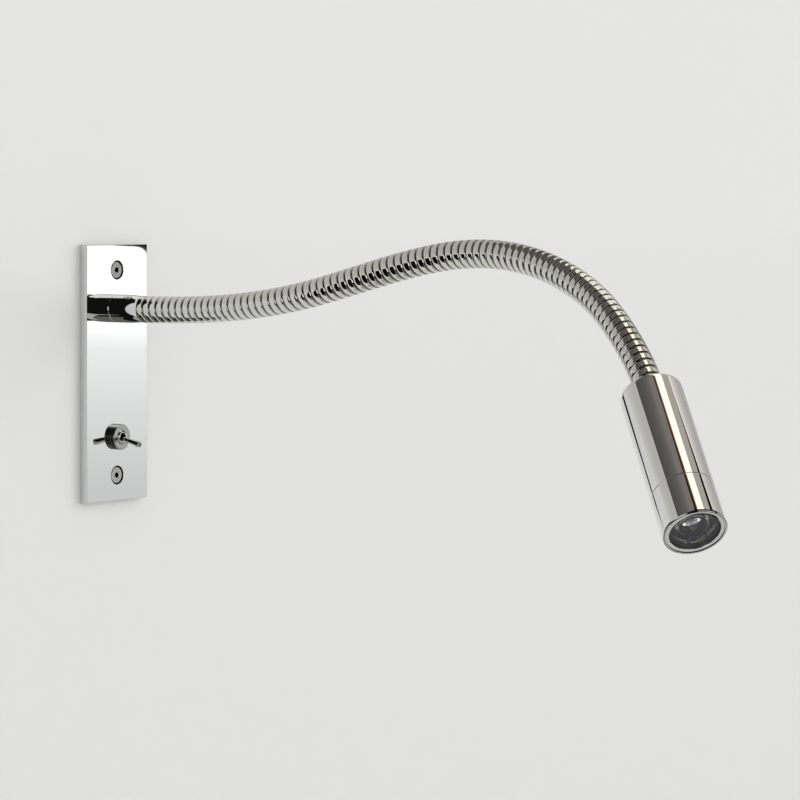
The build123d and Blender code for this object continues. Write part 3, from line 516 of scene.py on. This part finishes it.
class LAMP_OT_stage(bpy.types.Operator):
    """Set the camera, the wall, the floor and the studio light"""
    bl_idname = "lamp.stage"
    bl_label = "Camera, wall and light"

    def execute(self, context):
        scene = context.scene
        self.place_camera(scene)
        self.build_room(scene)
        self.hang_plate_cards()
        self.hang_boards()
        self.hang_strip_lamp()
        self.hang_side_cards()
        self.lay_low_cards()
        self.hang_far_cards()
        self.light_world(scene)
        self.add_sun()
        scene.view_settings.view_transform = "Standard"
        return {"FINISHED"}

    def place_camera(self, scene):
        """Camera at the photograph's place, worked out from its direction and its target."""
        place = scene.lamp_camera
        azimuth, elevation, roll = place.azimuth, place.elevation, place.roll
        look = Vector((sin(azimuth) * cos(elevation), cos(azimuth) * cos(elevation), -sin(elevation)))
        level = Vector((cos(azimuth), -sin(azimuth), 0))
        upright = level.cross(look)
        right = cos(roll) * level + sin(roll) * upright
        up = cos(roll) * upright - sin(roll) * level
        start()
        bpy.ops.object.camera_add()
        camera = bpy.context.object
        camera.name = "photo_camera"
        matrix = Matrix((right, up, -look)).transposed().to_4x4()
        matrix.translation = Vector(place.target) - look * place.distance
        camera.matrix_world = matrix
        camera.data.sensor_width = 36.0     # full frame, in millimetres
        camera.data.lens = place.lens
        camera.data.clip_start, camera.data.clip_end = 0.05, 50.0
        scene.camera = camera

    def build_room(self, scene):
        """Pale wall with a cut-out for the box, and a pale floor well below the lamp."""
        plate, colours = scene.lamp_plate, scene.lamp_colours
        side, middle, ground = 6.0, 0.6, -0.65
        start()
        bpy.ops.mesh.primitive_plane_add(size=side, rotation=(pi / 2, 0, 0))
        wall = named("stage_wall")
        settle(wall, Matrix.Translation((middle, 0, ground + side / 2)))
        cut(wall, block("wall_opening", (plate.box_width + 2 * MM, 0.02, plate.box_height + 24 * MM)))
        start()
        bpy.ops.mesh.primitive_plane_add(size=side, location=(middle, -side / 2, ground))
        floor = named("stage_floor")
        settle(floor)
        for piece, name, hexcode in ((wall, "painted_wall", colours.wall),
                                     (floor, "pale_floor", colours.floor)):
            piece.data.materials.append(self.paint(name, hexcode))
        floor.visible_glossy = False

    def paint(self, name, hexcode):
        """Matt paint from a roller. From behind it lets the view through, so that the lamp's back shows."""
        made, tree = empty_material(name)
        place = add(tree, "ShaderNodeTexCoord").outputs["Object"]
        roller = add(tree, "ShaderNodeTexNoise", {"Vector": place, "Scale": 1 / (2 * MM), "Detail": 2.0})
        bump = add(tree, "ShaderNodeBump", {"Height": roller.outputs["Fac"], "Distance": 0.01 * MM,
                                            "Strength": 0.2})
        matt = add(tree, "ShaderNodeBsdfPrincipled", {"Base Color": linear(hexcode), "Roughness": 0.85,
                                                      "Normal": bump.outputs[0]})
        behind = add(tree, "ShaderNodeNewGeometry").outputs["Backfacing"]
        through = add(tree, "ShaderNodeBsdfTransparent")
        surface = add(tree, "ShaderNodeMixShader", {0: behind, 1: matt.outputs[0], 2: through.outputs[0]})
        add(tree, "ShaderNodeOutputMaterial", {"Surface": surface.outputs[0]})
        return made

    def hang_plate_cards(self):
        """Soft boxes that the plate mirrors. The first one's top corner is the plate's black corner."""
        away, side = Vector((0.8142, -0.5774, -0.0600)), Vector((-0.5785, -0.8157, 0.0))
        rise = side.cross(away)
        lean = side + rise * 0.047
        place = away * 2.5
        soft = [(-1.30, 0.50), (-0.270, 0.73), (-0.164, 0.92), (-0.105, 1.06), (-0.075, 1.35), (0.05, 1.35)]
        self.card("key_card", place + side * 1.0655 + rise * -0.490, lean, rise, 1.80, 1.40, soft,
                  round_corner=0.016)
        # Two more go on past the photograph's view, so that the plate is bright from nearby angles too.
        self.card("key_low", place + side * 0.065 + rise * -0.735, lean, rise, 0.18, 1.00, soft)
        self.card("key_left", place - side * 0.735 + rise * -0.530, lean, rise, 1.42, 1.40, soft)

    def hang_boards(self):
        """The white wall as the metal sees it: a board with a dark gap left of the plate, and a ceiling."""
        self.card("board_gap", (-0.778, -0.002, -0.270), RIGHT, UP, 1.2, 0.66, [(0, 0.004)])
        self.card("board_fade", (0, -0.003, 0.1985), RIGHT, UP, 5.0, 0.273,
                  [(0.062, 0.70), (0.12, 0.60), (0.19, 0.54), (0.335, 0.54)], "#FFFDF8")
        self.card("board_top", (0, -0.003, 1.665), RIGHT, UP, 5.0, 2.66,
                  [(0.335, 0.092), (0.64, 0.115), (1.30, 0.15), (2.90, 0.21)], "#FFF8EE")
        self.card("ceiling", (0, -0.25, 3.0), RIGHT, INTO, 5.0, 0.50, [(0, 0.24)], "#F8ECE2")

    def hang_strip_lamp(self):
        """An overhead strip lamp above the head: warm at its near edge, white, then dimmer."""
        along = Vector((0.592, 0.806, 0))
        across = along.cross(UP)
        near_end = Vector((-0.06, -0.33, 1.2))
        for name, place, width, level, tint in (("strip_rim", 0.025, 0.05, 0.03, "#C89A70"),
                                                ("strip_edge", 0.085, 0.07, 0.32, "#EDA650"),
                                                ("strip_lamp", 0.320, 0.40, 1.45, "#FFF7E8"),
                                                ("strip_shade", 0.770, 0.50, 0.52, "#F6EADA")):
            self.card(name, near_end + across * place + along * 0.65, along, across, 1.7, width,
                      [(0, level)], tint)

    def hang_side_cards(self):
        """A small card above the collar, a pale screen on the right and a white card left of the camera."""
        self.card("collar_card", (0.165, -0.21, 0.27), Vector((0.793, 0, -0.609)),
                  Vector((0.36, 0.81, 0.47)), 0.26, 0.16, [(0, 1.05)], "#FFFFF4")
        self.card("side_screen", (3.0, -0.85, 1.05), INTO, UP, 1.70, 5.4,
                  [(-1.65, 0.45), (1.2, 0.49), (2.4, 0.66), (3.75, 1.0)], "#FFFBF5")
        self.card("left_card", (-1.6, -0.52, 0.05), INTO, UP, 1.0, 0.80, [(0, 1.1)])

    def lay_low_cards(self):
        """A grey-green table below, a pale shelf at the wall, a tray under the head, and a low window."""
        self.card("table", (1.4, -1.30, -0.60), RIGHT, INTO, 3.2, 1.6, [(0, 0.20)], "#E8EBDD")
        self.card("shelf", (0.0, -0.11, -0.35), RIGHT, INTO, 1.6, 0.22, [(0, 0.50)], "#F4F3EE")
        self.card("tray", (-0.03, -0.44, -0.30), RIGHT, INTO, 0.46, 0.20, [(0, 0.62)], "#F4F3EE")
        # The window only shows through the lens, as an arc on its flank.
        level = Vector((-0.77, 0.638, 0))
        window = self.card("lens_card", HEAD_CAP + HEAD_AXIS * 0.50, level, level.cross(HEAD_AXIS),
                           0.50, 0.12, [(0, 3.0)], "#EEF2FF")
        window.visible_glossy = False

    def hang_far_cards(self):
        """One behind the wall for the lamp's back, and one in front for views from the room's middle."""
        self.card("back_card", (0, 1.6, 0.2), RIGHT, UP, 3.6, 3.4, [(-1.5, 0.35), (1.9, 0.9)])
        self.card("front_card", (-0.44, -1.9, -0.185), RIGHT, UP, 1.32, 0.75, [(-0.56, 0.45), (0.19, 0.9)])

    def card(self, name, middle, across, upward, width, height, levels, tint="#FFFFFF", round_corner=0.0):
        """A flat glowing card that only polished metal and glass see."""
        start()
        bpy.ops.mesh.primitive_plane_add(size=1.0)
        card = named(name)
        card.scale = (width, height, 1.0)
        settle(card)
        if round_corner:
            bpy.ops.object.mode_set(mode="EDIT")
            bpy.ops.mesh.select_all(action="SELECT")
            bpy.ops.mesh.bevel(offset=round_corner, segments=6, affect="VERTICES")
            bpy.ops.object.mode_set(mode="OBJECT")
        turned = Matrix((across, upward, across.cross(upward))).transposed().to_4x4()
        card.data.transform(Matrix.Translation(middle) @ turned)
        card.data.materials.append(self.glow(name, levels, tint))
        card.visible_camera = card.visible_diffuse = card.visible_shadow = False
        return card

    def glow(self, name, levels, tint):
        """Light of one tint. levels gives its strength at heights above the middle of the plate."""
        made, tree = empty_material(name)
        strength = levels[0][1]
        if len(levels) > 1:
            strength = self.strength_by_height(tree, levels)
        light = add(tree, "ShaderNodeEmission", {"Color": linear(tint), "Strength": strength})
        add(tree, "ShaderNodeOutputMaterial", {"Surface": light.outputs[0]})
        return made

    def strength_by_height(self, tree, levels):
        """A strength that changes evenly between the given heights. The ramp holds half, to stay below 1."""
        place = add(tree, "ShaderNodeTexCoord").outputs["Object"]
        height = add(tree, "ShaderNodeSeparateXYZ", {0: place}).outputs["Z"]
        low, high = levels[0][0], levels[-1][0]
        share = add(tree, "ShaderNodeMapRange", {"Value": height, "From Min": low, "From Max": high})
        ramp = add(tree, "ShaderNodeValToRGB", {"Fac": share.outputs[0]})
        stops = ramp.color_ramp.elements
        for number, (at, level) in enumerate(levels):
            stop = stops[number] if number < 2 else stops.new(1.0)
            stop.position = (at - low) / (high - low)
            stop.color = (level / 2, level / 2, level / 2, 1.0)
        whole = add(tree, "ShaderNodeMath", {0: ramp.outputs["Color"], 1: 2.0}, operation="MULTIPLY")
        return whole.outputs[0]

    def light_world(self, scene):
        """Plain even light for what is matt, and a dark studio for what is polished."""
        world = bpy.data.worlds.new("studio")
        scene.world = world
        world.use_nodes = True
        tree = world.node_tree
        tree.nodes.clear()
        path = add(tree, "ShaderNodeLightPath").outputs
        mirrored = add(tree, "ShaderNodeMath", {0: path["Is Glossy Ray"], 1: path["Is Transmission Ray"]},
                       operation="MAXIMUM")
        even = add(tree, "ShaderNodeBackground", {"Color": linear("#FFFFFF"), "Strength": 0.90})
        room = add(tree, "ShaderNodeBackground", {"Color": linear("#161615"), "Strength": 1.0})
        mixed = add(tree, "ShaderNodeMixShader", {0: mirrored.outputs[0], 1: even.outputs[0],
                                                  2: room.outputs[0]})
        add(tree, "ShaderNodeOutputWorld", {"Surface": mixed.outputs[0]})

    def add_sun(self):
        """A broad soft light from the right and a little above, which shades the matt pieces."""
        start()
        bpy.ops.object.light_add(type="SUN")
        key = bpy.context.object
        key.name = "key_light"
        key.rotation_mode = "QUATERNION"
        key.rotation_quaternion = Vector((-1.7, 1.25, -0.35)).to_track_quat("-Z", "Y")
        key.data.angle = radians(45)
        key.data.energy = 1.1
        key.visible_glossy = False
        key.visible_camera = False


class LAMP_OT_plate(bpy.types.Operator):
    """Model the polished wall plate and its two countersunk screws"""
    bl_idname = "lamp.plate"
    bl_label = "Wall plate and screws"

    def execute(self, context):
        scene = context.scene
        size, arm, switch = scene.lamp_plate, scene.lamp_arm, scene.lamp_switch
        made = finishes(scene.lamp_colours)
        heights = (size.screw_spacing / 2, -size.screw_spacing / 2)
        holes = ((mm(arm.shank) / 2 + mm(size.play), arm.height),
                 (mm(switch.bush) / 2 + mm(size.play), -switch.drop))
        self.plate(size, made, heights, holes)
        for end, height in zip(("top", "bottom"), heights):
            self.screw(size, made, end, height)
        return {"FINISHED"}

    def plate(self, size, made, heights, holes):
        """The plate with its rounded front edge, its countersinks and its two larger holes."""
        middle = -size.thickness / 2
        plate = block("wall_plate", (size.width, size.thickness, size.height), (0, middle, 0))
        bpy.ops.object.mode_set(mode="EDIT")
        bpy.ops.mesh.select_mode(type="EDGE")
        bpy.ops.mesh.select_all(action="DESELECT")
        bpy.ops.object.mode_set(mode="OBJECT")
        for edge in plate.data.edges:
            ends = [plate.data.vertices[vertex].co for vertex in edge.vertices]
            edge.select = all(end.y < middle for end in ends)
        bpy.ops.object.mode_set(mode="EDIT")
        bpy.ops.mesh.bevel(offset=size.edge, segments=5, affect="EDGES")
        bpy.ops.object.mode_set(mode="OBJECT")
        face, hole, sink = mm(size.thickness), mm(size.screw_hole) / 2, mm(size.countersink) / 2
        for number, height in enumerate(heights):
            cutter = turn(f"countersink_{number}", [
                (0, -1), (hole, -1), (hole, face - (sink - hole)), (sink - 0.12, face - 0.12),
                (sink, face - 0.04), (sink + 0.06, face), (sink + 0.06, face + 1), (0, face + 1)], 64)
            settle(cutter, off_wall(height))
            cut(plate, cutter)
        for number, (radius, height) in enumerate(holes):
            cutter = drill(f"plate_hole_{number}", radius, -1, face + 1, 64)
            settle(cutter, off_wall(height))
            cut(plate, cutter)
        # Painted shade in the countersinks: the walls round the screw heads are marked to turn near black.
        spots = [Vector((0, height)) for height in heights]
        mark(plate, lambda point: point.y > (0.1 - face) * MM
             and min((point.xz - spot).length for spot in spots) < (sink - 0.1) * MM)
        polish(plate)
        give(plate, made, "chrome", "wall_unit", "back_plate")

    def screw(self, size, made, end, height):
        """An M4 countersunk screw with a hex socket, its face a little below the plate's."""
        face, head = mm(size.thickness) - 0.35, mm(size.screw_head) / 2
        shaft, tip = 1.95, face - 11
        screw = turn(f"countersunk_screw_{end}", [
            (0, face), (head - 0.29, face), (head - 0.25, face), (head - 0.08, face - 0.05),
            (head, face - 0.14), (head, face - 0.3), (shaft, face - 2.2), (shaft, tip + 0.4), (1.6, tip),
            (0, tip)], 64)
        corner = mm(size.socket) / 2 / cos(pi / 6)
        cut(screw, turn("socket", [(0, face - 2.1), (corner - 0.9, face - 1.75), (corner, face - 1.5),
                                   (corner, face - 0.12), (corner, face + 1), (0, face + 1)], 6))
        # Painted shade in the hex socket: its walls and floor are marked to turn near black.
        mark(screw, lambda point: point.xy.length < (corner + 0.1) * MM
             and face - 2.2 < mm(point.z) < face - 0.1)
        polish(screw)
        settle(screw, off_wall(height))
        give(screw, made, "screw_steel", "wall_unit", f"plate_screw_{end}")


class LAMP_OT_ferrule(bpy.types.Operator):
    """Model the collar that holds the arm on the plate"""
    bl_idname = "lamp.ferrule"
    bl_label = "Arm ferrule"

    def execute(self, context):
        scene = context.scene
        size = scene.lamp_arm
        made = finishes(scene.lamp_colours)
        face, radius, thread = mm(scene.lamp_plate.thickness), mm(size.ferrule) / 2, mm(size.shank) / 2
        front = face + mm(size.ferrule_length)
        # The threaded shank goes back through the plate, with a bore for the lead.
        pitch, turns, bore = 0.8, 17, 1.8
        back = face - 14
        shank = [(thread, face)]
        for number in range(turns):
            crest = face - pitch * (number + 0.5)
            shank += [(thread, crest), (thread - 0.25, crest - pitch / 4), (thread - 0.25, crest - pitch / 2),
                      (thread, crest - pitch * 3 / 4)]
        # The collar swells from its mouth to its full width over 9 mm, and the hose's end sits in a pocket.
        swell, run, steps = 0.6, 9.0, 9
        taper = [(radius - swell * (step / steps) ** 2, front - 0.3 - run * (1 - step / steps))
                 for step in range(steps, -1, -1)]
        pocket, bottom = 4.9, front - 8
        ferrule = turn("arm_collar", [
            (pocket, front), (radius - 0.75, front), (radius - 0.65, front - 0.08), *taper,
            (radius, face + 0.5), (radius, face + 0.3), (radius - 0.08, face + 0.1), (radius - 0.2, face),
            *shank, (4.6, back), (bore, back), (bore, bottom), (pocket, bottom), (pocket, front)], 96)
        polish(ferrule, angle=35)
        settle(ferrule, off_wall(size.height))
        give(ferrule, made, "chrome", "wall_unit", "arm_ferrule")
        return {"FINISHED"}


class LAMP_OT_switch(bpy.types.Operator):
    """Model the dress ring, the threaded bush and the bat lever of the toggle switch"""
    bl_idname = "lamp.switch"
    bl_label = "Toggle switch"

    def execute(self, context):
        scene = context.scene
        size = scene.lamp_switch
        made = finishes(scene.lamp_colours)
        face, bush = mm(scene.lamp_plate.thickness), mm(size.bush) / 2
        front = face + mm(size.ring_thickness)
        mouth = front + mm(size.bush_proud)
        self.dress_ring(size, made, bush, face, front)
        self.sleeve(size, made, bush, mouth)
        self.lever(size, made, mouth)
        return {"FINISHED"}

    def dress_ring(self, size, made, bush, face, front):
        """The round nut on the plate: turned brass with a thinner plate, duller than the wall plate."""
        outer, inner = mm(size.ring) / 2, bush + 0.05
        ring = turn("switch_dress_ring", [
            (inner, face), (outer - 0.1, face), (outer, face + 0.1), (outer, front - 0.3),
            (outer - 0.05, front - 0.2), (outer - 0.2, front - 0.05), (outer - 0.3, front),
            (outer - 0.33, front), (bush + 0.33, front), (bush + 0.3, front), (inner, front - 0.25),
            (inner, face)], 96)
        mark(ring, lambda point: 0.28)
        polish(ring, angle=35)
        settle(ring, off_wall(-size.drop))
        give(ring, made, "chrome", "wall_unit", "dress_ring")

    def sleeve(self, size, made, bush, mouth):
        """The threaded bush, and the bracket that holds the switch's body to it."""
        pitch, turns, root, bore, throat = 0.635, 16, bush - 0.3, 2.2, 1.85
        back, sheet = -3.0, 0.8
        profile = [(throat, mouth - 0.25), (2.1, mouth - 0.02), (bush - 0.55, mouth), (root, mouth - 0.1),
                   (bush - 0.22, mouth - 0.3)]
        for number in range(turns):
            crest = mouth - 0.45 - number * pitch
            profile += [(bush, crest), (bush, crest - 0.12), (root, crest - 0.38), (root, crest - 0.45)]
        profile += [(root, back), (root, back - sheet), (bore, back - sheet), (bore, mouth - 1.2),
                    (throat, mouth - 1.2), (throat, mouth - 0.25)]
        sleeve = turn("switch_sleeve", profile, 64)
        # Painted shade in the bush's bore, below its mouth.
        mark(sleeve, lambda point: point.xy.length < bore * MM and point.z < (mouth - 0.1) * MM)
        bracket = block("switch_bracket", (7.0 * MM, 13.2 * MM, sheet * MM),
                        (0, 0, (back - sheet / 2) * MM))
        cut(bracket, drill("bracket_bore", bore + 0.1, back - 2, back + 1, 48))
        polish(bracket, 0.15 * MM)
        polish(sleeve, angle=35)
        pick(sleeve)
        bracket.select_set(True)
        bpy.ops.object.join()
        settle(sleeve, off_wall(-size.drop))
        give(sleeve, made, "chrome", "wall_unit", "switch_bush")

    def lever(self, size, made, mouth):
        """The bat lever round its pivot ball, which lies 2.6 mm behind the bush's mouth."""
        tip, root, depth = mm(size.lever_tip) / 2, mm(size.lever_root) / 2, 2.6
        reach, pin, ball = mm(size.lever_length) + depth, 0.8, 1.9
        lever = turn("switch_bat_lever", [
            (0, -5.0), (0.5, -4.95), (pin, -4.6), (pin, -1.72), *arc((0, 0), ball, -65, 60, 10),
            (root, 1.75), (root + 0.01, 2.4), (root + 0.06, 4.0), (root + 0.2, 7.0), (root + 0.38, 10.0),
            (tip - 0.01, reach - 0.62), (tip, reach - 0.55), (tip, reach - 0.42), (tip - 0.05, reach - 0.28),
            (tip - 0.28, reach - 0.05), (tip - 0.42, reach), (0.3, reach), (0, reach)], 48)
        # Painted shade on the pivot ball and the pin inside the bush.
        mark(lever, lambda point: point.z < 1.72 * MM)
        polish(lever, angle=35)
        settle(lever, Matrix.Translation((0, (depth - mouth) * MM, -size.drop))
               @ Matrix.Rotation(pi / 2 + size.tilt, 4, "X"))
        give(lever, made, "chrome", "switch_lever", "toggle_lever")


class LAMP_OT_arm(bpy.types.Operator):
    """Model one straight length of the strip-wound hose and of the lead, and lay copies along the arm"""
    bl_idname = "lamp.arm"
    bl_label = "Flexible arm and lead"

    def execute(self, context):
        size = context.scene.lamp_arm
        made = finishes(context.scene.lamp_colours)
        route = self.route()
        line = self.line(route)
        spans = len(ARM_BODIES) - 1
        span = sum((after - before).length for before, after in zip(line, line[1:])) / spans
        hose = self.straight_hose(size, mm(span) / size.turns)
        rings = 14
        tube = turn("straight_lead", [(mm(size.lead) / 2, mm(span) * ring / rings)
                                      for ring in range(rings + 1)], 12)
        polish(tube)
        for number, (near, far) in enumerate(zip(ARM_BODIES, ARM_BODIES[1:])):
            first, last = self.point_at(line, span * number), self.point_at(line, span * (number + 1))
            nodes = [f"arm_winding_{number:02d}"]
            if number == spans - 1:
                nodes.append(f"arm_winding_{spans:02d}")
            for master, name, slot, stands_for in ((hose, "hose_length", "hose_chrome", nodes),
                                                   (tube, "lead_length", "lead_pvc", [])):
                piece = self.copy(master, f"{name}_{number + 1:02d}")
                settle(piece, Matrix.Translation((0, 0, span * number)))
                use(piece, "CURVE", object=route, deform_axis="POS_Z")
                give(piece, made, slot, None, *stands_for)
                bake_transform(piece)
        for master in (hose, tube, route):
            bpy.data.objects.remove(master)
        self.lead_ends(size, made)
        return {"FINISHED"}

    def route(self):
        """The arm's centre line as a smooth curve, twisting as little as it can."""
        route = smooth_path("arm_route", ARM_POINTS)
        route.data.splines[0].resolution_u = 24
        route.data.twist_mode = "MINIMUM"
        return route

    def line(self, route):
        """Points along the route, closely spaced."""
        bpy.context.view_layer.update()
        mesh = bpy.data.meshes.new_from_object(route)
        points = [vertex.co.copy() for vertex in mesh.vertices]
        bpy.data.meshes.remove(mesh)
        return points

    def point_at(self, line, place):
        """The point at this length from the ferrule."""
        for before, after in zip(line, line[1:]):
            step = (after - before).length
            if place <= step:
                return before.lerp(after, place / step)
            place -= step
        return line[-1]

    def straight_hose(self, size, pitch):
        """A straight length of hose: one turn's section wound right-handed, both ends cut square."""
        outer = mm(size.hose) / 2
        # One turn, from the middle of a gap to the next: a flat band between two chamfers, and a deep gap.
        gap, chamfer, floor = 0.048, 0.19, outer - mm(size.groove) - 0.2
        half = [(floor, 0.0), (floor, gap), (outer - 0.34, gap), (outer - 0.27, gap + 0.004),
                (outer - 0.215, gap + 0.016), (outer - 0.18, gap + 0.034), (outer - 0.05, chamfer - 0.02),
                (outer - 0.03, chamfer), (outer - 0.016, chamfer + 0.025), (outer - 0.006, 0.36)]
        section = half + [(outer, 0.5)] + [(radius, 1 - height) for radius, height in reversed(half)]
        hose = draw("straight_hose", [(radius * MM, height * pitch * MM) for radius, height in section])
        bpy.ops.object.mode_set(mode="OBJECT")
        use(hose, "SCREW", angle=2 * pi, screw_offset=pitch * MM, iterations=size.turns + 2, steps=56,
            render_steps=56, use_merge_vertices=True, merge_threshold=SAME_POINT)
        settle(hose, Matrix.Translation((0, 0, -1.5 * pitch * MM)))
        bpy.ops.object.mode_set(mode="EDIT")
        for height, normal in ((0.0, -1), (size.turns * pitch * MM, 1)):
            bpy.ops.mesh.select_all(action="SELECT")
            bpy.ops.mesh.bisect(plane_co=(0, 0, height), plane_no=(0, 0, normal), clear_outer=True)
        close_up(hose)
        # Painted shade in the gaps between turns: their walls and floor are marked to turn near black.
        mark(hose, lambda point: point.xy.length < (outer - 0.30) * MM)
        pick(hose)
        bpy.ops.object.shade_smooth_by_angle(angle=radians(50))
        return hose

    def copy(self, master, name):
        """A copy with its own mesh."""
        pick(master)
        bpy.ops.object.duplicate(linked=False)
        return named(name)

    def lead_ends(self, size, made):
        """The lead from the driver's top into the ferrule, and from the cap to the board."""
        for name, body, corners in (("lead_at_driver", "wall_unit", LEAD_AT_DRIVER),
                                    ("lead_at_board", "spot_head", LEAD_AT_BOARD)):
            lead = smooth_path(name, corners)
            lead.data.bevel_depth = size.lead / 2
            lead.data.bevel_resolution = 3
            lead.data.use_fill_caps = True
            pick(lead)
            bpy.ops.object.convert(target="MESH")
            lead = named(name)
            polish(lead)
            give(lead, made, "lead_pvc", body, "arm_lead")


class LAMP_OT_head(bpy.types.Operator):
    """Model the barrel, the front bezel, the front glass and the lens of the spot head"""
    bl_idname = "lamp.head"
    bl_label = "Spot head"

    def execute(self, context):
        size = context.scene.lamp_head
        made = finishes(context.scene.lamp_colours)
        outer, total, pane = mm(size.diameter) / 2, mm(size.total), mm(size.glass) / 2
        seam = total - mm(size.bezel)
        self.barrel(size, made, outer, seam)
        self.bezel(size, made, outer, seam, total, pane)
        self.glass(made, total, pane)
        self.lens(made, total)
        return {"FINISHED"}

    def finish(self, piece, made, slot, node):
        """Smooth a turned piece, put it on the head's axis and let it ride on the head."""
        polish(piece, angle=30)
        settle(piece, on_head())
        give(piece, made, slot, "spot_head", node)

    def barrel(self, size, made, outer, seam):
        """A tube with a rounded closed end, a hole there for the arm and a thread in its mouth."""
        cap, hole, bore, thread, wall, step = mm(size.cap_round), 6.05, 10.2, 11.4, 3, 28
        barrel = turn("spot_barrel", [
            (hole, 0.15), (hole + 0.15, 0), (outer - cap - 0.05, 0),
            *arc((outer - cap, cap), cap, -90, 0, 12),
            (outer, cap + 0.2), (outer, seam - 0.3), (outer, seam - 0.12), (outer - 0.03, seam - 0.04),
            (outer - 0.10, seam), (thread, seam), (thread, step), (bore, step), (bore, wall), (hole, wall),
            (hole, 0.15)], 128)
        self.finish(barrel, made, "chrome", "head_barrel")

    def bezel(self, size, made, outer, seam, total, pane):
        """The front ring: a rounded rim, a step down to the glass, and a spigot that goes into the barrel."""
        rim, lip, window, seat, bore, spigot = mm(size.rim_round), 11.85, 10.4, pane + 0.05, 10.2, 11.3
        bezel = turn("spot_bezel", [
            (outer - 0.10, seam), (outer - 0.03, seam + 0.04), (outer, seam + 0.12), (outer, seam + 0.3),
            (outer, total - rim - 0.2), *arc((outer - rim, total - rim), rim, 0, 90, 8), (lip + 0.05, total),
            (lip, total - 0.06), (lip, total - 0.4), (lip - 0.13, total - 0.4), (11.3, total - 0.4),
            (11.2, total - 0.42), (window + 0.05, total - 0.62), (window, total - 0.68),
            (window + 0.1, total - 0.7), (seat, total - 0.7), (seat, total - 3.9), (bore, total - 3.9),
            (bore, seam - 5), (spigot, seam - 5), (spigot, seam), (outer - 0.10, seam)], 128)
        # Painted shade: a dark line on the step wall at the lip, next to the glass.
        mark(bezel, lambda point: abs(mm(point.xy.length) - lip) < 0.02)
        self.finish(bezel, made, "chrome", "front_bezel")

    def glass(self, made, total, pane):
        """The front glass, a little domed, with its edge eased."""
        glass = turn("spot_glass", [
            (0, total - 3.4), (pane - 0.2, total - 3.4), (pane, total - 3.2), (pane, total - 0.9),
            (pane - 0.15, total - 0.72), (10.3, total - 0.70), (9.0, total - 0.55), (7.5, total - 0.41),
            (6.0, total - 0.29), (4.0, total - 0.19), (2.0, total - 0.13), (0, total - 0.11)], 96)
        self.finish(glass, made, "window_glass", "front_glass")

    def lens(self, made, total):
        """A domed pocket for the emitter, a parabolic flank that reflects within, two rings in its face."""
        rear, seat, front = total - 21.6, total - 7.0, total - 4.5
        narrow, spread, steps = 4.0, 3.853, 14
        flank_length = seat - rear
        flank = [((narrow ** 2 + spread * rise) ** 0.5, rear + rise)
                 for rise in (flank_length * step / steps for step in range(steps + 1))]
        rings = [(8.0 - 0.15 * step, front - 0.22 * sin(pi * step / 10) ** 2) for step in range(21)]
        lens = turn("spot_lens", [
            (0, rear + 1.2), (1.2, rear + 1.35), (2.2, rear + 1.75), (2.8, rear + 2.0), (3.0, rear), *flank,
            (9.1, seat), (9.1, front - 0.1), (9.0, front), *rings, (0, front)], 96)
        self.finish(lens, made, "optic_acrylic", "tir_lens")


class LAMP_OT_inner_finishes(bpy.types.Operator):
    """Give the inner pieces that keep their CAD shape their real finishes"""
    bl_idname = "lamp.inner_finishes"
    bl_label = "Inner pieces"

    def execute(self, context):
        made = finishes(context.scene.lamp_colours)
        for name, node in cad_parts.items():
            slot = node.data.materials[0].name.split(".")[0]
            if slot not in made:
                raise RuntimeError(f"no finish is named for {name}")
            node.data.materials[0] = made[slot]
        return {"FINISHED"}


class LAMP_PT_panel(bpy.types.Panel):
    """Lists the sizes, the colours and the steps"""
    bl_label = "Reading lamp"
    bl_idname = "LAMP_PT_panel"
    bl_space_type = "VIEW_3D"
    bl_region_type = "UI"
    bl_category = "Reading lamp"

    def draw(self, context):
        for step in STEPS:
            self.layout.operator(step.bl_idname)
        for name, (title, group) in GROUPS.items():
            box = self.layout.box()
            box.label(text=title)
            for setting in group.__annotations__:
                box.prop(getattr(context.scene, name), setting)


STEPS = (LAMP_OT_stage, LAMP_OT_plate, LAMP_OT_ferrule, LAMP_OT_switch, LAMP_OT_arm, LAMP_OT_head,
         LAMP_OT_inner_finishes)
GROUPS = {
    "lamp_plate": ("Wall plate", PlateSizes),
    "lamp_switch": ("Switch", SwitchSizes),
    "lamp_arm": ("Arm", ArmSizes),
    "lamp_head": ("Head", HeadSizes),
    "lamp_colours": ("Colours", FinishColours),
    "lamp_camera": ("Camera", CameraPlace),
}
CLASSES = (*(group for title, group in GROUPS.values()), *STEPS, LAMP_PT_panel)


def register():
    for kind in CLASSES:
        bpy.utils.register_class(kind)
    for name, (title, group) in GROUPS.items():
        setattr(bpy.types.Scene, name, PointerProperty(type=group))


def unregister():
    for name in GROUPS:
        delattr(bpy.types.Scene, name)
    for kind in reversed(CLASSES):
        bpy.utils.unregister_class(kind)


def main():
    register()
    for step in STEPS:
        family, name = step.bl_idname.split(".")
        getattr(getattr(bpy.ops, family), name)()
    start()


if __name__ == "__main__":
    main()
